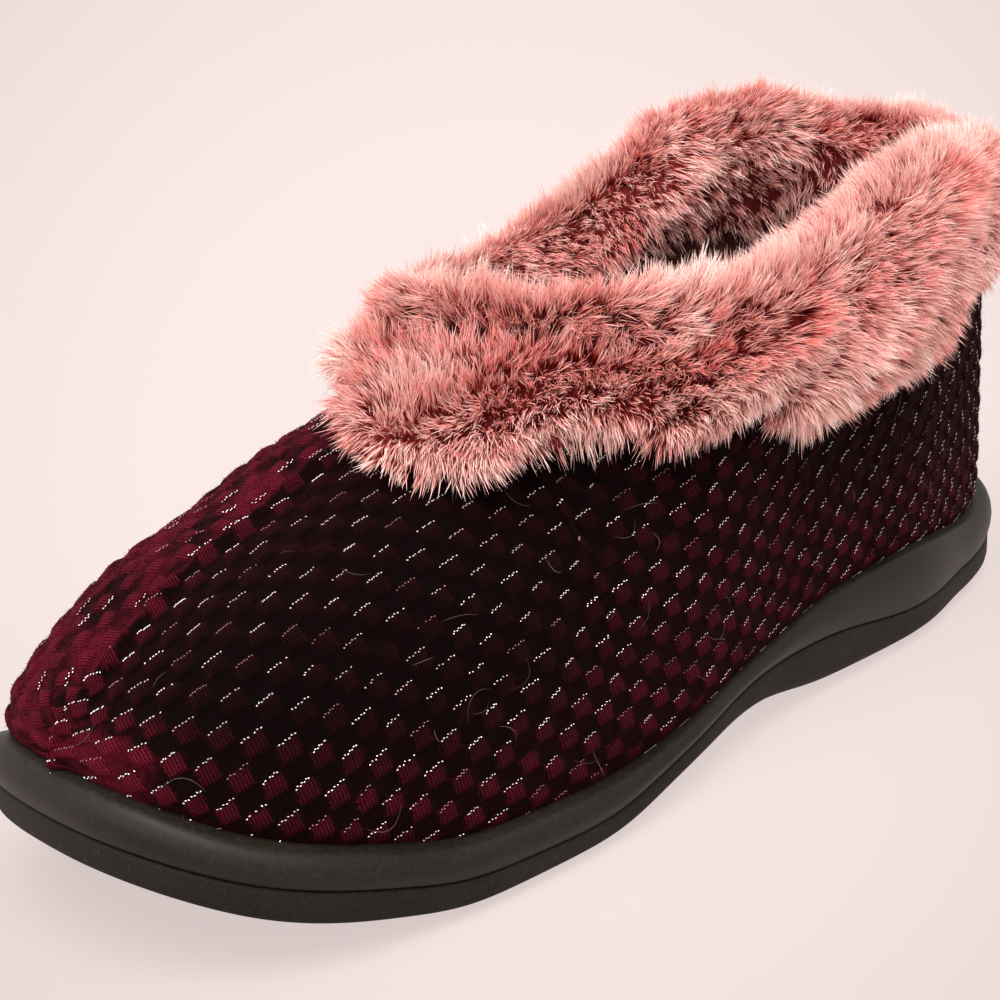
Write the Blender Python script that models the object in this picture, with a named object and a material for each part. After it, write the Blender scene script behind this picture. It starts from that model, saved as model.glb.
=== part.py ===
"""Bootie slipper for the left foot, in metres.

+X points to the toe, +Y to the outer side of the foot and +Z up. The origin lies on the floor, in the
middle of the flat spot under the heel. A station is a share of the sole's length, 0 at the heel's back
and 1 at the toe. The upper is a last surface: at each station a rounded arch springs from the feather
line, where upper and platform meet, and the collar cuts the arches off behind the throat.
"""

import bmesh
import bpy
import numpy as np

# Driving sizes
LENGTH = 0.262
BALL_WIDTH = 0.0951
HEEL_REST = 0.040
OUTSOLE_HEEL = 0.0125
MIDSOLE_HEEL = 0.0093
TOE_SPRING = 0.0163
FEATHER_INSET = 0.0031
INSTEP_HEIGHT = 0.0625
COLLAR_HEIGHT = 0.075
HEEL_LEAN = 0.003
SEAM_SHIFT = 0.0048
WALL = 0.0024
SEAM_RAISE = 0.0013
SEAM_HALF_WIDTH = 0.0009
SEAM_FOOT = 0.0023
INSOLE_THICKNESS = 0.0035
EDGE_ROLL = 0.0048
TREAD_INSET = 0.0100
TREAD_RISE = 0.0012
GROOVE_DEPTH = 0.0011
GROOVE_CHAMFER = 0.0009
BAND_BULGE = 0.0007
PLATFORM_ROUND = 0.0016
GAP = 0.0003
FUR_DEPTH = 0.0115
FUR_DROP = 0.036
FUR_CREST = 0.0145
FUR_UPRIGHT = 0.80
FUR_INNER_DEPTH = 0.0085
FUR_INNER_DROP = 0.022
FUR_BACKING = 0.0007
LOCK_RAISE = 0.0017
LOCK_TIP = 0.0030

# How finely the forms are faceted
SOLE_STEPS = 44
RING_STEPS = 44
CURVE_SAMPLES = 240
UPPER_LEVELS = (0.0, 0.05, 0.14, 0.28, 0.44, 0.60, 0.74, 0.84, 0.91, 0.96, 1.0)
CUFF_LEVELS = tuple(1.0 - 0.035 * k for k in range(23))

# The sole's outline and layers. Widths are shares of BALL_WIDTH from the centre line, lift is the
# underside's height as a share of TOE_SPRING, outsole and edge are shares of OUTSOLE_HEEL, midsole of
# MIDSOLE_HEEL, and feather is how far the upper stands in from the rim as a share of FEATHER_INSET.
SOLE_COLUMNS = ("station", "outer", "inner", "lift", "outsole", "edge", "midsole", "feather")
SOLE_ROWS = (
    (0.00, 0.302, 0.310, 0.00, 0.93, 0.28, 0.84, 1.0),
    (0.12, 0.321, 0.345, 0.00, 0.69, 0.28, 0.97, 1.0),
    (0.25, 0.394, 0.345, 0.00, 0.69, 0.28, 1.42, 1.0),
    (0.38, 0.398, 0.325, 0.06, 0.94, 0.26, 0.88, 0.5),
    (0.50, 0.435, 0.335, 0.39, 0.59, 0.20, 0.40, 0.3),
    (0.60, 0.482, 0.395, 0.25, 0.46, 0.14, 0.40, 0.7),
    (0.68, 0.494, 0.450, 0.00, 0.46, 0.12, 0.62, 1.0),
    (0.80, 0.475, 0.448, 0.00, 0.53, 0.12, 0.64, 1.0),
    (0.86, 0.447, 0.425, 0.21, 0.59, 0.12, 0.65, 1.0),
    (0.93, 0.421, 0.400, 0.52, 0.63, 0.13, 0.66, 1.0),
    (1.00, 0.398, 0.410, 1.02, 0.61, 0.14, 0.84, 1.0),
)
HEEL_ROUND_SHARE = 0.147
TOE_ROUND_SHARE = 0.143
HEEL_POWER = 2.0
TOE_POWER = 2.39

# The sole's curves are averaged over a short stretch to each side, so that they bend evenly between the
# rows. The stretch is a share of the length and closes up within the end share at heel and toe.
AVERAGE_SHARE = 0.035
AVERAGE_END_SHARE = 0.10
AVERAGE_WEIGHTS = (0.40, 0.75, 0.95, 1.00, 0.95, 0.75, 0.40)

# How the edges of the sole's layers and of the footbed round over, as shares of the size named first
ROLL_SHARES = ((1.0, 0.0), (0.45, 0.16), (0.10, 0.55), (0.0, 1.0))
BAND_BULGE_SHARE = 0.55
BAND_TOP_SHARES = (0.25, 0.85)
FOOTBED_EDGE_SHARE = 0.7
FOOTBED_ROUND_SHARE = 0.5
SEAM_SHOULDER_SHARE = 0.85
FOOTBED_CLEARANCE = 0.0018
FOOTBED_STEP = 0.0006
FUR_CLEARANCE = 0.0007
RIM_CLEARANCE = 0.0006
LOCK_SINK_SHARE = 0.4
SLOT_SHARES = (1.0, 0.66, 0.33, 0.0)
BACKING_SHARES = (0.0, 0.5, 1.0)

# The last. ridge is the arch's height above the feather line and shift how far the ridge leans to the
# inner side, as shares of INSTEP_HEIGHT and SEAM_SHIFT. Behind the throat the arch is taller than the
# collar that cuts it. collar is the cut's height, a share of COLLAR_HEIGHT, and lean the heel's.
LAST_COLUMNS = ("station", "ridge", "shift", "collar", "lean")
LAST_ROWS = (
    (0.00, 3.42, 0.0, 1.016, 1.0),
    (0.12, 3.34, 0.0, 1.097, 0.6),
    (0.25, 2.89, 0.0, 1.040, 0.1),
    (0.33, 2.45, 0.1, 0.940, 0.0),
    (0.42, 1.94, 0.3, 0.840, 0.0),
    (0.52, 1.40, 0.7, 0.820, 0.0),
    (0.60, 1.13, 1.0, 0.842, 0.0),
    (0.66, 1.00, 1.0, 0.838, 0.0),
    (0.75, 0.895, 0.8, 0.838, 0.0),
    (0.85, 0.692, 0.5, 0.833, 0.0),
    (0.93, 0.505, 0.2, 0.833, 0.0),
    (1.00, 0.310, 0.0, 0.833, 0.0),
)
ARCH_POWER = 2.4
TOE_RISE_SHARE = 0.154
TOE_RISE_POWER = 2.2

# The fur round the collar, from the front (0) to the heel (1) along each side. drop is how far it hangs
# outside, depth how far it stands off the wall and crest how far it rises over the rim, as shares of
# FUR_DROP, FUR_DEPTH and FUR_CREST, each on the outer and on the inner side of the foot.
FUR_COLUMNS = (
    "around", "drop_outer", "drop_inner", "depth_outer", "depth_inner", "crest_outer", "crest_inner",
)
FUR_ROWS = (
    (0.00, 0.60, 0.42, 1.05, 1.05, 1.28, 1.28),
    (0.04, 0.78, 0.41, 1.14, 1.05, 1.12, 1.16),
    (0.08, 0.89, 0.40, 1.24, 0.95, 1.00, 0.95),
    (0.12, 0.92, 0.42, 1.28, 0.85, 1.03, 0.90),
    (0.16, 0.95, 0.46, 1.22, 0.80, 1.10, 0.95),
    (0.20, 0.80, 0.54, 1.16, 0.82, 1.19, 0.99),
    (0.24, 0.72, 0.64, 1.10, 0.85, 1.16, 1.01),
    (0.29, 0.75, 0.70, 1.05, 0.94, 1.05, 1.05),
    (0.33, 0.88, 0.76, 1.05, 0.98, 1.01, 1.09),
    (0.38, 0.92, 0.84, 1.03, 1.00, 0.98, 1.12),
    (0.43, 0.79, 0.89, 0.95, 1.00, 0.90, 1.10),
    (0.48, 1.00, 0.94, 1.00, 1.00, 0.77, 1.06),
    (0.56, 1.19, 1.04, 1.00, 1.00, 0.64, 1.06),
    (0.64, 1.28, 1.16, 0.96, 1.00, 0.58, 0.97),
    (0.70, 1.18, 1.14, 0.88, 1.00, 0.54, 0.94),
    (0.78, 0.92, 1.00, 0.70, 0.95, 0.50, 0.94),
    (0.88, 0.72, 0.80, 0.66, 0.88, 0.54, 0.84),
    (1.00, 0.70, 0.70, 0.78, 0.78, 0.76, 0.76),
)

# The fur's section. down runs from the rim along the wall (negative above it) and out away from it.
# On the outer part they are shares of the drop and the depth, and on the crest of the crest's rise and the
# depth. On the inner part they are shares of FUR_INNER_DROP and FUR_INNER_DEPTH, out pointing inwards.
FUR_OUTER_SHARES = ((1.08, 0.42), (0.94, 0.86), (0.66, 1.05), (0.36, 1.10), (0.06, 1.06))
FUR_CREST_SHARES = ((-0.52, 0.82), (-0.88, 0.42), (-1.00, -0.06), (-0.84, -0.52))
FUR_INNER_SHARES = ((-0.18, 1.15), (0.32, 1.10), (0.76, 0.84), (1.04, 0.42))


def column(rows, names, name):
    """One named column of a table."""
    place = names.index(name)
    return np.array([row[place] for row in rows])


def through(x, y, at):
    """A smooth curve through a table's points that never swings past them."""
    step = np.diff(x)
    slope = np.diff(y) / step
    tangent = np.zeros(len(y))
    tangent[0] = slope[0]
    tangent[-1] = slope[-1]
    before = slope[:-1]
    after = slope[1:]
    same_way = before * after > 0
    near = 2 * step[1:] + step[:-1]
    far = step[1:] + 2 * step[:-1]
    mixed = near[same_way] / before[same_way] + far[same_way] / after[same_way]
    tangent[1:-1][same_way] = (near + far)[same_way] / mixed
    at = np.clip(at, x[0], x[-1])
    part = np.clip(np.searchsorted(x, at, side="right") - 1, 0, len(step) - 1)
    t = (at - x[part]) / step[part]
    start = (1 + 2 * t) * (1 - t) ** 2 * y[part] + t * (1 - t) ** 2 * step[part] * tangent[part]
    end = t * t * (3 - 2 * t) * y[part + 1] + t * t * (t - 1) * step[part] * tangent[part + 1]
    return start + end


def sole_value(name, station):
    """A column of the sole's table, averaged over a short stretch."""
    rows_at = column(SOLE_ROWS, SOLE_COLUMNS, "station")
    values = column(SOLE_ROWS, SOLE_COLUMNS, name)
    reach = AVERAGE_SHARE * np.clip(np.minimum(station, 1 - station) / AVERAGE_END_SHARE, 0, 1)
    steps = np.linspace(-1, 1, len(AVERAGE_WEIGHTS))
    total = 0
    for step, weight in zip(steps, AVERAGE_WEIGHTS):
        total = total + weight * through(rows_at, values, station + reach * step)
    return total / sum(AVERAGE_WEIGHTS)


def last_value(name, station):
    return through(column(LAST_ROWS, LAST_COLUMNS, "station"), column(LAST_ROWS, LAST_COLUMNS, name), station)


def fur_value(name, around):
    return through(column(FUR_ROWS, FUR_COLUMNS, "around"), column(FUR_ROWS, FUR_COLUMNS, name), around)


def rounding(station):
    """How much of the width is left where heel and toe round off."""
    heel = np.clip(1 - station / HEEL_ROUND_SHARE, 0, 1)
    toe = np.clip(1 - (1 - station) / TOE_ROUND_SHARE, 0, 1)
    return (1 - heel ** HEEL_POWER) ** (1 / HEEL_POWER) * (1 - toe ** TOE_POWER) ** (1 / TOE_POWER)


def foot_x(station, inset):
    """Place along the foot of a station on an outline that lies inset inside the sole's rim."""
    return inset + station * (LENGTH - 2 * inset) - HEEL_REST


def half_width(station, side, inset):
    return (sole_value(side, station) * BALL_WIDTH - inset) * rounding(station)


def underside(station):
    return sole_value("lift", station) * TOE_SPRING


def groove_height(station):
    return underside(station) + sole_value("outsole", station) * OUTSOLE_HEEL


def feather_height(station):
    return groove_height(station) + sole_value("midsole", station) * MIDSOLE_HEEL


def platform_top(x):
    """Height of the platform's top at a place along the foot."""
    station = (x + HEEL_REST - PLATFORM_ROUND) / (LENGTH - 2 * PLATFORM_ROUND)
    return feather_height(np.clip(station, 0, 1))


def stations(steps):
    """Stations from heel to toe, closer together at both ends."""
    return (1 - np.cos(np.linspace(0, np.pi, steps + 1))) / 2


def sole_ring(inset, height):
    """Closed outline of the sole: outer side from heel to toe, then inner side back."""
    station = stations(SOLE_STEPS)
    x = foot_x(station, inset)
    z = height(station)
    outer = np.stack([x, half_width(station, "outer", inset), z], 1)
    inner = np.stack([x, -half_width(station, "inner", inset), z], 1)
    return np.concatenate([outer, inner[-2:0:-1]])


def new_part(name, builder, finish):
    """An object in the slipper's collection, from a bmesh."""
    mesh = bpy.data.meshes.new(name)
    bmesh.ops.recalc_face_normals(builder, faces=builder.faces)
    builder.to_mesh(mesh)
    builder.free()
    mesh.materials.append(finish)
    mesh.shade_smooth()
    mesh.set_sharp_from_angle(angle=np.radians(40))
    part = bpy.data.objects.new(name, mesh)
    collection.objects.link(part)
    return part


def material(name, color, roughness):
    """A plain finish: neither cloth, fur nor rubber is metallic."""
    finish = bpy.data.materials.new(name)
    finish.use_nodes = True
    shader = finish.node_tree.nodes["Principled BSDF"]
    shader.inputs["Base Color"].default_value = (*color, 1.0)
    shader.inputs["Roughness"].default_value = roughness
    shader.inputs["Metallic"].default_value = 0.0
    return finish


def skin(builder, rings, around_closed):
    """Faces between each ring and the next, and from the last ring to the first if around_closed."""
    loops = [[builder.verts.new(point) for point in ring] for ring in rings]
    pairs = list(zip(loops[:-1], loops[1:]))
    if around_closed:
        pairs.append((loops[-1], loops[0]))
    for low, high in pairs:
        for i in range(len(low)):
            j = (i + 1) % len(low)
            builder.faces.new((low[i], low[j], high[j], high[i]))
    return loops


def close_sole_ring(builder, loop):
    """A cap of strips across the sole, each between two stations."""
    last = len(loop) // 2
    builder.faces.new((loop[0], loop[1], loop[-1]))
    for i in range(1, last - 1):
        builder.faces.new((loop[i], loop[i + 1], loop[-i - 1], loop[-i]))
    builder.faces.new((loop[last - 1], loop[last], loop[last + 1]))


def stacked(name, rings, finish):
    """A solid of outlines stacked from its underside to its top."""
    builder = bmesh.new()
    loops = skin(builder, rings, around_closed=False)
    close_sole_ring(builder, loops[0])
    close_sole_ring(builder, loops[-1])
    return new_part(name, builder, finish)


def make_outsole():
    """The lower layer: a flat underside with rolled edges, a plain wall and the groove's lower lip."""
    def rolled(share):
        return lambda s: underside(s) + TREAD_RISE + share * sole_value("edge", s) * OUTSOLE_HEEL
    rings = [sole_ring(TREAD_INSET, underside)]
    rings += [sole_ring(EDGE_ROLL * inset, rolled(rise)) for inset, rise in ROLL_SHARES]
    rings.append(sole_ring(0.0, lambda s: groove_height(s) - GROOVE_CHAMFER))
    rings.append(sole_ring(GROOVE_DEPTH, lambda s: groove_height(s) - GAP / 2))
    return stacked("outsole", rings, material("outsole_rubber", (0.030, 0.028, 0.024), 0.75))


def make_midsole():
    """The wrapped platform: its band swells a little between the groove and its rounded top edge."""
    def at(share):
        return lambda s: groove_height(s) * (1 - share) + feather_height(s) * share
    top_inset, top_rise = BAND_TOP_SHARES
    rings = [
        sole_ring(GROOVE_DEPTH, lambda s: groove_height(s) + GAP / 2),
        sole_ring(0.0, lambda s: groove_height(s) + GROOVE_CHAMFER),
        sole_ring(-BAND_BULGE, at(BAND_BULGE_SHARE)),
        sole_ring(PLATFORM_ROUND * top_inset, at(top_rise)),
        sole_ring(PLATFORM_ROUND, feather_height),
    ]
    return stacked("midsole", rings, material("platform_cover", (0.036, 0.034, 0.029), 0.5))


def make_insole():
    """The footbed inside the upper."""
    inset = FEATHER_INSET + WALL + FOOTBED_CLEARANCE
    def layer(share, narrowing):
        edge = inset + narrowing
        return sole_ring(edge, lambda s: platform_top(foot_x(s, edge)) + GAP + share * INSOLE_THICKNESS)
    rings = [
        layer(0.0, 0.0),
        layer(FOOTBED_EDGE_SHARE, FOOTBED_STEP),
        layer(1.0, INSOLE_THICKNESS * FOOTBED_ROUND_SHARE),
    ]
    return stacked("insole", rings, material("footbed_pile", (0.45, 0.16, 0.16), 0.9))


def ridge_height(station):
    """Height of the arch's ridge above the feather line, steep at the toe."""
    toe = np.clip(1 - (1 - station) / TOE_RISE_SHARE, 0, 1)
    rise = (1 - toe ** TOE_RISE_POWER) ** (1 / TOE_RISE_POWER)
    return last_value("ridge", station) * INSTEP_HEIGHT * rise


def level_height(station, level):
    """Height above the feather line of a line that runs round the upper at a share of the collar's."""
    return level * last_value("collar", station) * COLLAR_HEIGHT


def front_station(level):
    """Where the ridge comes down to a level, found by halving."""
    low = column(LAST_ROWS, LAST_COLUMNS, "station")[0]
    high = 1.0
    for _ in range(48):
        middle = (low + high) / 2
        above = ridge_height(np.array([middle])) > level_height(np.array([middle]), level)
        low, high = (middle, high) if above[0] else (low, middle)
    return low


def last_side(level, side):
    """Points of one side of a level, from the ridge in front to the heel's back."""
    station = front_station(level) * (1 + np.cos(np.linspace(0, np.pi, CURVE_SAMPLES))) / 2
    height = level_height(station, level)
    share = np.clip(height / ridge_height(np.minimum(station, 1 - 1e-9)), 0, 1)
    inset = sole_value("feather", station) * FEATHER_INSET
    arch = (1 - share ** ARCH_POWER) ** (1 / ARCH_POWER)
    across = half_width(station, side, inset) * arch
    if side == "inner":
        across = -across
    collar_share = height / (last_value("collar", station) * COLLAR_HEIGHT)
    base = foot_x(station, FEATHER_INSET)
    x = base + last_value("lean", station) * HEEL_LEAN * collar_share ** 2
    y = across - last_value("shift", station) * SEAM_SHIFT * share
    z = platform_top(base) + GAP + height
    return np.stack([x, y, z], 1)


def spaced(points):
    """A side's points at fixed distances beside the seam and at even ones from there to the heel."""
    run = np.concatenate([[0], np.cumsum(np.linalg.norm(np.diff(points, axis=0), axis=1))])
    even = np.linspace(SEAM_FOOT, run[-1], RING_STEPS - 1)
    marks = np.concatenate([[0, SEAM_HALF_WIDTH], even])
    return np.stack([np.interp(marks, run, points[:, k]) for k in range(3)], 1)


def last_ring(level):
    """Closed line round the upper: from the ridge along the outer side to the heel and back inside."""
    outer = spaced(last_side(level, "outer"))
    inner = spaced(last_side(level, "inner"))
    front = (outer[0] + inner[0]) / 2
    back = (outer[-1] + inner[-1]) / 2
    return np.concatenate([[front], outer[1:-1], [back], inner[-2:0:-1]])


def outward(rings):
    """Unit normals of a stack of rings, pointing away from the foot."""
    around = np.roll(rings, -1, axis=1) - np.roll(rings, 1, axis=1)
    upward = np.gradient(rings, axis=0)
    normal = np.cross(around, upward)
    length = np.linalg.norm(normal, axis=2, keepdims=True)
    normal = normal / np.maximum(length, 1e-12)
    centre = rings.mean(axis=1, keepdims=True)
    facing = np.sign(np.sum(normal * (rings - centre), axis=2).sum())
    return normal * facing


def seam_lift(count):
    """How far each point of a ring stands up on the centre seam."""
    lift = np.zeros(count)
    lift[0] = SEAM_RAISE
    lift[1] = lift[-1] = SEAM_RAISE * SEAM_SHOULDER_SHARE
    return lift


def on_platform(ring):
    """A ring dropped onto the platform's top, a gap above it."""
    seated = ring.copy()
    seated[:, 2] = platform_top(ring[:, 0]) + GAP
    return seated


def make_upper():
    """One hollow wall, open at the collar and underneath, with the centre seam as a step in it."""
    rings = np.array([last_ring(level) for level in UPPER_LEVELS])
    normal = outward(rings)
    lift = seam_lift(rings.shape[1])[None, :, None]
    outside = rings + normal * lift
    inside = rings - normal * WALL
    inside[0] = on_platform(inside[0])
    outside[0] = on_platform(outside[0])
    builder = bmesh.new()
    skin(builder, list(outside) + list(inside[::-1]), around_closed=True)
    return new_part("upper", builder, material("pile_cloth", (0.10, 0.008, 0.022), 0.8))


def along_wall(rings, normal):
    """For each point of the rim, a function from distance down the wall to place and outward normal."""
    def at(index, down):
        line = rings[:, index]
        run = np.concatenate([[0], np.cumsum(np.linalg.norm(np.diff(line, axis=0), axis=1))])
        place = np.array([np.interp(max(down, 0), run, line[:, k]) for k in range(3)])
        facing = np.array([np.interp(max(down, 0), run, normal[:, index, k]) for k in range(3)])
        facing = facing / np.linalg.norm(facing)
        rise = (line[0] - line[1]) / np.linalg.norm(line[0] - line[1])
        rise = rise * (1 - FUR_UPRIGHT) + np.array((0, 0, FUR_UPRIGHT))
        return place + rise / np.linalg.norm(rise) * max(-down, 0), facing
    return at


def lock(place, row):
    """Locks in staggered rows: every other place of a row stands proud as a lock's tip."""
    return LOCK_RAISE if (place + row) % 2 == 0 else -LOCK_RAISE * LOCK_SINK_SHARE


def fur_section(at, index, steps_from_front, side, lift):
    """The fur's closed section at one point of the rim: slot for the wall, inside, crest, outside."""
    around = steps_from_front / RING_STEPS
    drop = fur_value("drop_" + side, around) * FUR_DROP
    depth = fur_value("depth_" + side, around) * FUR_DEPTH
    crest = fur_value("crest_" + side, around) * FUR_CREST
    points = []
    place = max(steps_from_front - 1, 0)

    def add(down, out):
        base, facing = at(index, float(down))
        points.append(base + facing * float(out))

    for share in SLOT_SHARES:
        add(share * drop, FUR_CLEARANCE + lift)
    add(-RIM_CLEARANCE, GAP + lift)
    add(-RIM_CLEARANCE, -WALL - FUR_BACKING)
    for share in BACKING_SHARES:
        add(share * FUR_INNER_DROP, -WALL - FUR_BACKING)
    for row, (down, out) in enumerate(reversed(FUR_INNER_SHARES)):
        add(down * FUR_INNER_DROP, -WALL - out * FUR_INNER_DEPTH - lock(place, row))
    for row, (down, out) in enumerate(reversed(FUR_CREST_SHARES)):
        add(down * (crest + lock(place, row)), out * depth)
    for row, (down, out) in enumerate(reversed(FUR_OUTER_SHARES)):
        tip = LOCK_TIP if row == len(FUR_OUTER_SHARES) - 1 and place % 2 == 0 else 0
        add(down * drop + tip, out * depth + lock(place, row))
    return points


def make_fur_cuff():
    """Deep fur that straddles the collar, with its locks raised from the same surface."""
    rings = np.array([last_ring(level) for level in CUFF_LEVELS])
    normal = outward(rings)
    at = along_wall(rings, normal)
    count = rings.shape[1]
    lift = seam_lift(count)
    sections = []
    for index in range(count):
        side = "outer" if index <= RING_STEPS else "inner"
        steps_from_front = min(index, count - index)
        sections.append(fur_section(at, index, steps_from_front, side, lift[index]))
    rows = np.array(sections).transpose(1, 0, 2)
    builder = bmesh.new()
    skin(builder, list(rows), around_closed=True)
    return new_part("fur_cuff", builder, material("fur", (0.55, 0.22, 0.20), 0.95))


for old in list(bpy.data.objects):
    bpy.data.objects.remove(old, do_unlink=True)

collection = bpy.data.collections.new("bootie_slipper")
bpy.context.scene.collection.children.link(collection)

make_outsole()
make_midsole()
make_insole()
make_upper()
make_fur_cuff()
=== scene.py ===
# %% [markdown]
# A bootie slipper for the left foot: a fur cuff, an upper of woven pile cloth and a platform sole.
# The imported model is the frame. Everything here is laid over it in the same metres: +X to the toe,
# +Y to the outer side of the foot, +Z up, with the origin on the floor under the heel.

# %% Load the frame
import math

import bmesh
import bpy
import numpy as np
from mathutils import Matrix, Vector, kdtree


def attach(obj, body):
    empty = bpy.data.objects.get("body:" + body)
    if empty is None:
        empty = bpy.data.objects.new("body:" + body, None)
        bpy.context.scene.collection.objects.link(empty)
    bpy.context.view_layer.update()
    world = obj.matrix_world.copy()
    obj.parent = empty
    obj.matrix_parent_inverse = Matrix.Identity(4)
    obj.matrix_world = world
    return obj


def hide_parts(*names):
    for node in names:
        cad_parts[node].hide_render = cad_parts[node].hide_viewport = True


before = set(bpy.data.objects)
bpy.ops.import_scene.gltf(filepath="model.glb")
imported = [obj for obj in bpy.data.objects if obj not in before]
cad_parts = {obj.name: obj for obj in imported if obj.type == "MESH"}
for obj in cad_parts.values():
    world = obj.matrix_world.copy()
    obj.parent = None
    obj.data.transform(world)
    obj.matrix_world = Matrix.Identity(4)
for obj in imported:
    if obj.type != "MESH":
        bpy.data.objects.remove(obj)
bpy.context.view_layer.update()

print("frame nodes:", sorted(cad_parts))

# %% [markdown]
# The slipper is drawn on a last, the wooden foot that a shoemaker works on. The same last as in the
# solids is worked out here from its driving sizes and two short tables, so that cloth, fur and sole lie
# exactly where the solids are, but as finely as the finish needs.

# %% The driving sizes of the last and the sole
LENGTH = 0.262
BALL_WIDTH = 0.0951
HEEL_REST = 0.040
OUTSOLE_HEEL = 0.0125
MIDSOLE_HEEL = 0.0093
TOE_SPRING = 0.0163
FEATHER_INSET = 0.0031
INSTEP_HEIGHT = 0.0625
COLLAR_HEIGHT = 0.075
HEEL_LEAN = 0.003
SEAM_SHIFT = 0.0048
WALL = 0.0024
PLATFORM_ROUND = 0.0016
GAP = 0.0003
OUTER = 1
INNER = -1


def table(names, rows):
    """A short table as one array for each named column."""
    return dict(zip(names, np.array(rows).T))


SOLE = table(
    ("at", "outer", "inner", "lift", "outsole", "edge", "midsole", "feather"),
    (
        (0.00, 0.302, 0.310, 0.00, 0.93, 0.28, 0.84, 1.0),
        (0.12, 0.321, 0.345, 0.00, 0.69, 0.28, 0.97, 1.0),
        (0.25, 0.394, 0.345, 0.00, 0.69, 0.28, 1.42, 1.0),
        (0.38, 0.398, 0.325, 0.06, 0.94, 0.26, 0.88, 0.5),
        (0.50, 0.435, 0.335, 0.39, 0.59, 0.20, 0.40, 0.3),
        (0.60, 0.482, 0.395, 0.25, 0.46, 0.14, 0.40, 0.7),
        (0.68, 0.494, 0.450, 0.00, 0.46, 0.12, 0.62, 1.0),
        (0.80, 0.475, 0.448, 0.00, 0.53, 0.12, 0.64, 1.0),
        (0.86, 0.447, 0.425, 0.21, 0.59, 0.12, 0.65, 1.0),
        (0.93, 0.421, 0.400, 0.52, 0.63, 0.13, 0.66, 1.0),
        (1.00, 0.398, 0.410, 1.02, 0.61, 0.14, 0.84, 1.0),
    ),
)
HEEL_ROUND, TOE_ROUND = 0.147, 0.143
HEEL_POWER, TOE_POWER = 2.0, 2.39

LAST = table(
    ("at", "ridge", "shift", "collar", "lean"),
    (
        (0.00, 3.42, 0.0, 1.016, 1.0),
        (0.12, 3.34, 0.0, 1.097, 0.6),
        (0.25, 2.89, 0.0, 1.040, 0.1),
        (0.33, 2.45, 0.1, 0.940, 0.0),
        (0.42, 1.94, 0.3, 0.840, 0.0),
        (0.52, 1.40, 0.7, 0.820, 0.0),
        (0.60, 1.13, 1.0, 0.842, 0.0),
        (0.66, 1.00, 1.0, 0.838, 0.0),
        (0.75, 0.895, 0.8, 0.838, 0.0),
        (0.85, 0.692, 0.5, 0.833, 0.0),
        (0.93, 0.505, 0.2, 0.833, 0.0),
        (1.00, 0.310, 0.0, 0.833, 0.0),
    ),
)
ARCH_POWER = 2.4
TOE_RISE_SHARE, TOE_RISE_POWER = 0.154, 2.2

# %% Reading a table as a smooth curve


def through(x, y, at):
    """A smooth curve through a table's points that never swings past them."""
    step = np.diff(x)
    slope = np.diff(y) / step
    tangent = np.zeros(len(y))
    tangent[0], tangent[-1] = slope[0], slope[-1]
    before, after = slope[:-1], slope[1:]
    same_way = before * after > 0
    near, far = 2 * step[1:] + step[:-1], step[1:] + 2 * step[:-1]
    mixed = near[same_way] / before[same_way] + far[same_way] / after[same_way]
    tangent[1:-1][same_way] = (near + far)[same_way] / mixed
    at = np.clip(at, x[0], x[-1])
    part = np.clip(np.searchsorted(x, at, side="right") - 1, 0, len(step) - 1)
    t = (at - x[part]) / step[part]
    start = (1 + 2 * t) * (1 - t) ** 2 * y[part] + t * (1 - t) ** 2 * step[part] * tangent[part]
    end = t * t * (3 - 2 * t) * y[part + 1] + t * t * (t - 1) * step[part] * tangent[part + 1]
    return start + end


AVERAGE_SHARE, AVERAGE_END_SHARE = 0.035, 0.10
AVERAGE_WEIGHTS = (0.40, 0.75, 0.95, 1.00, 0.95, 0.75, 0.40)


def value(of, name, at):
    """One column of a table at places along it; the sole's are averaged over a short stretch."""
    at = np.asarray(at, float)
    if of is not SOLE:
        return through(of["at"], of[name], at)
    reach = AVERAGE_SHARE * np.clip(np.minimum(at, 1 - at) / AVERAGE_END_SHARE, 0, 1)
    steps = np.linspace(-1, 1, len(AVERAGE_WEIGHTS))
    taken = [weight * through(of["at"], of[name], at + reach * step)
             for step, weight in zip(steps, AVERAGE_WEIGHTS)]
    return sum(taken) / sum(AVERAGE_WEIGHTS)


def rounding(station):
    """How much of the width is left where heel and toe round off."""
    heel = np.clip(1 - station / HEEL_ROUND, 0, 1)
    toe = np.clip(1 - (1 - station) / TOE_ROUND, 0, 1)
    return (1 - heel ** HEEL_POWER) ** (1 / HEEL_POWER) * (1 - toe ** TOE_POWER) ** (1 / TOE_POWER)


def foot_x(station, inset):
    """Place along the foot of a station, 0 at the heel and 1 at the toe."""
    return inset + station * (LENGTH - 2 * inset) - HEEL_REST


def half_width(station, side, inset):
    """Half the sole's width on one side, inset from the rim."""
    share = value(SOLE, "outer" if side == OUTER else "inner", station)
    return (share * BALL_WIDTH - inset) * rounding(station)


def underside(station):
    return value(SOLE, "lift", station) * TOE_SPRING


def groove_height(station):
    return underside(station) + value(SOLE, "outsole", station) * OUTSOLE_HEEL


def feather_height(station):
    return groove_height(station) + value(SOLE, "midsole", station) * MIDSOLE_HEEL


def platform_top(x):
    """Height of the platform's top at a place along the foot."""
    station = (x + HEEL_REST - PLATFORM_ROUND) / (LENGTH - 2 * PLATFORM_ROUND)
    return feather_height(np.clip(station, 0, 1))


# %% The surface of the last


def ridge_height(station):
    """Height of the arch's ridge above the feather line, where upper and platform meet."""
    toe = np.clip(1 - (1 - station) / TOE_RISE_SHARE, 0, 1)
    rise = (1 - toe ** TOE_RISE_POWER) ** (1 / TOE_RISE_POWER)
    return np.maximum(value(LAST, "ridge", station) * INSTEP_HEIGHT * rise, 1e-6)


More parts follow.
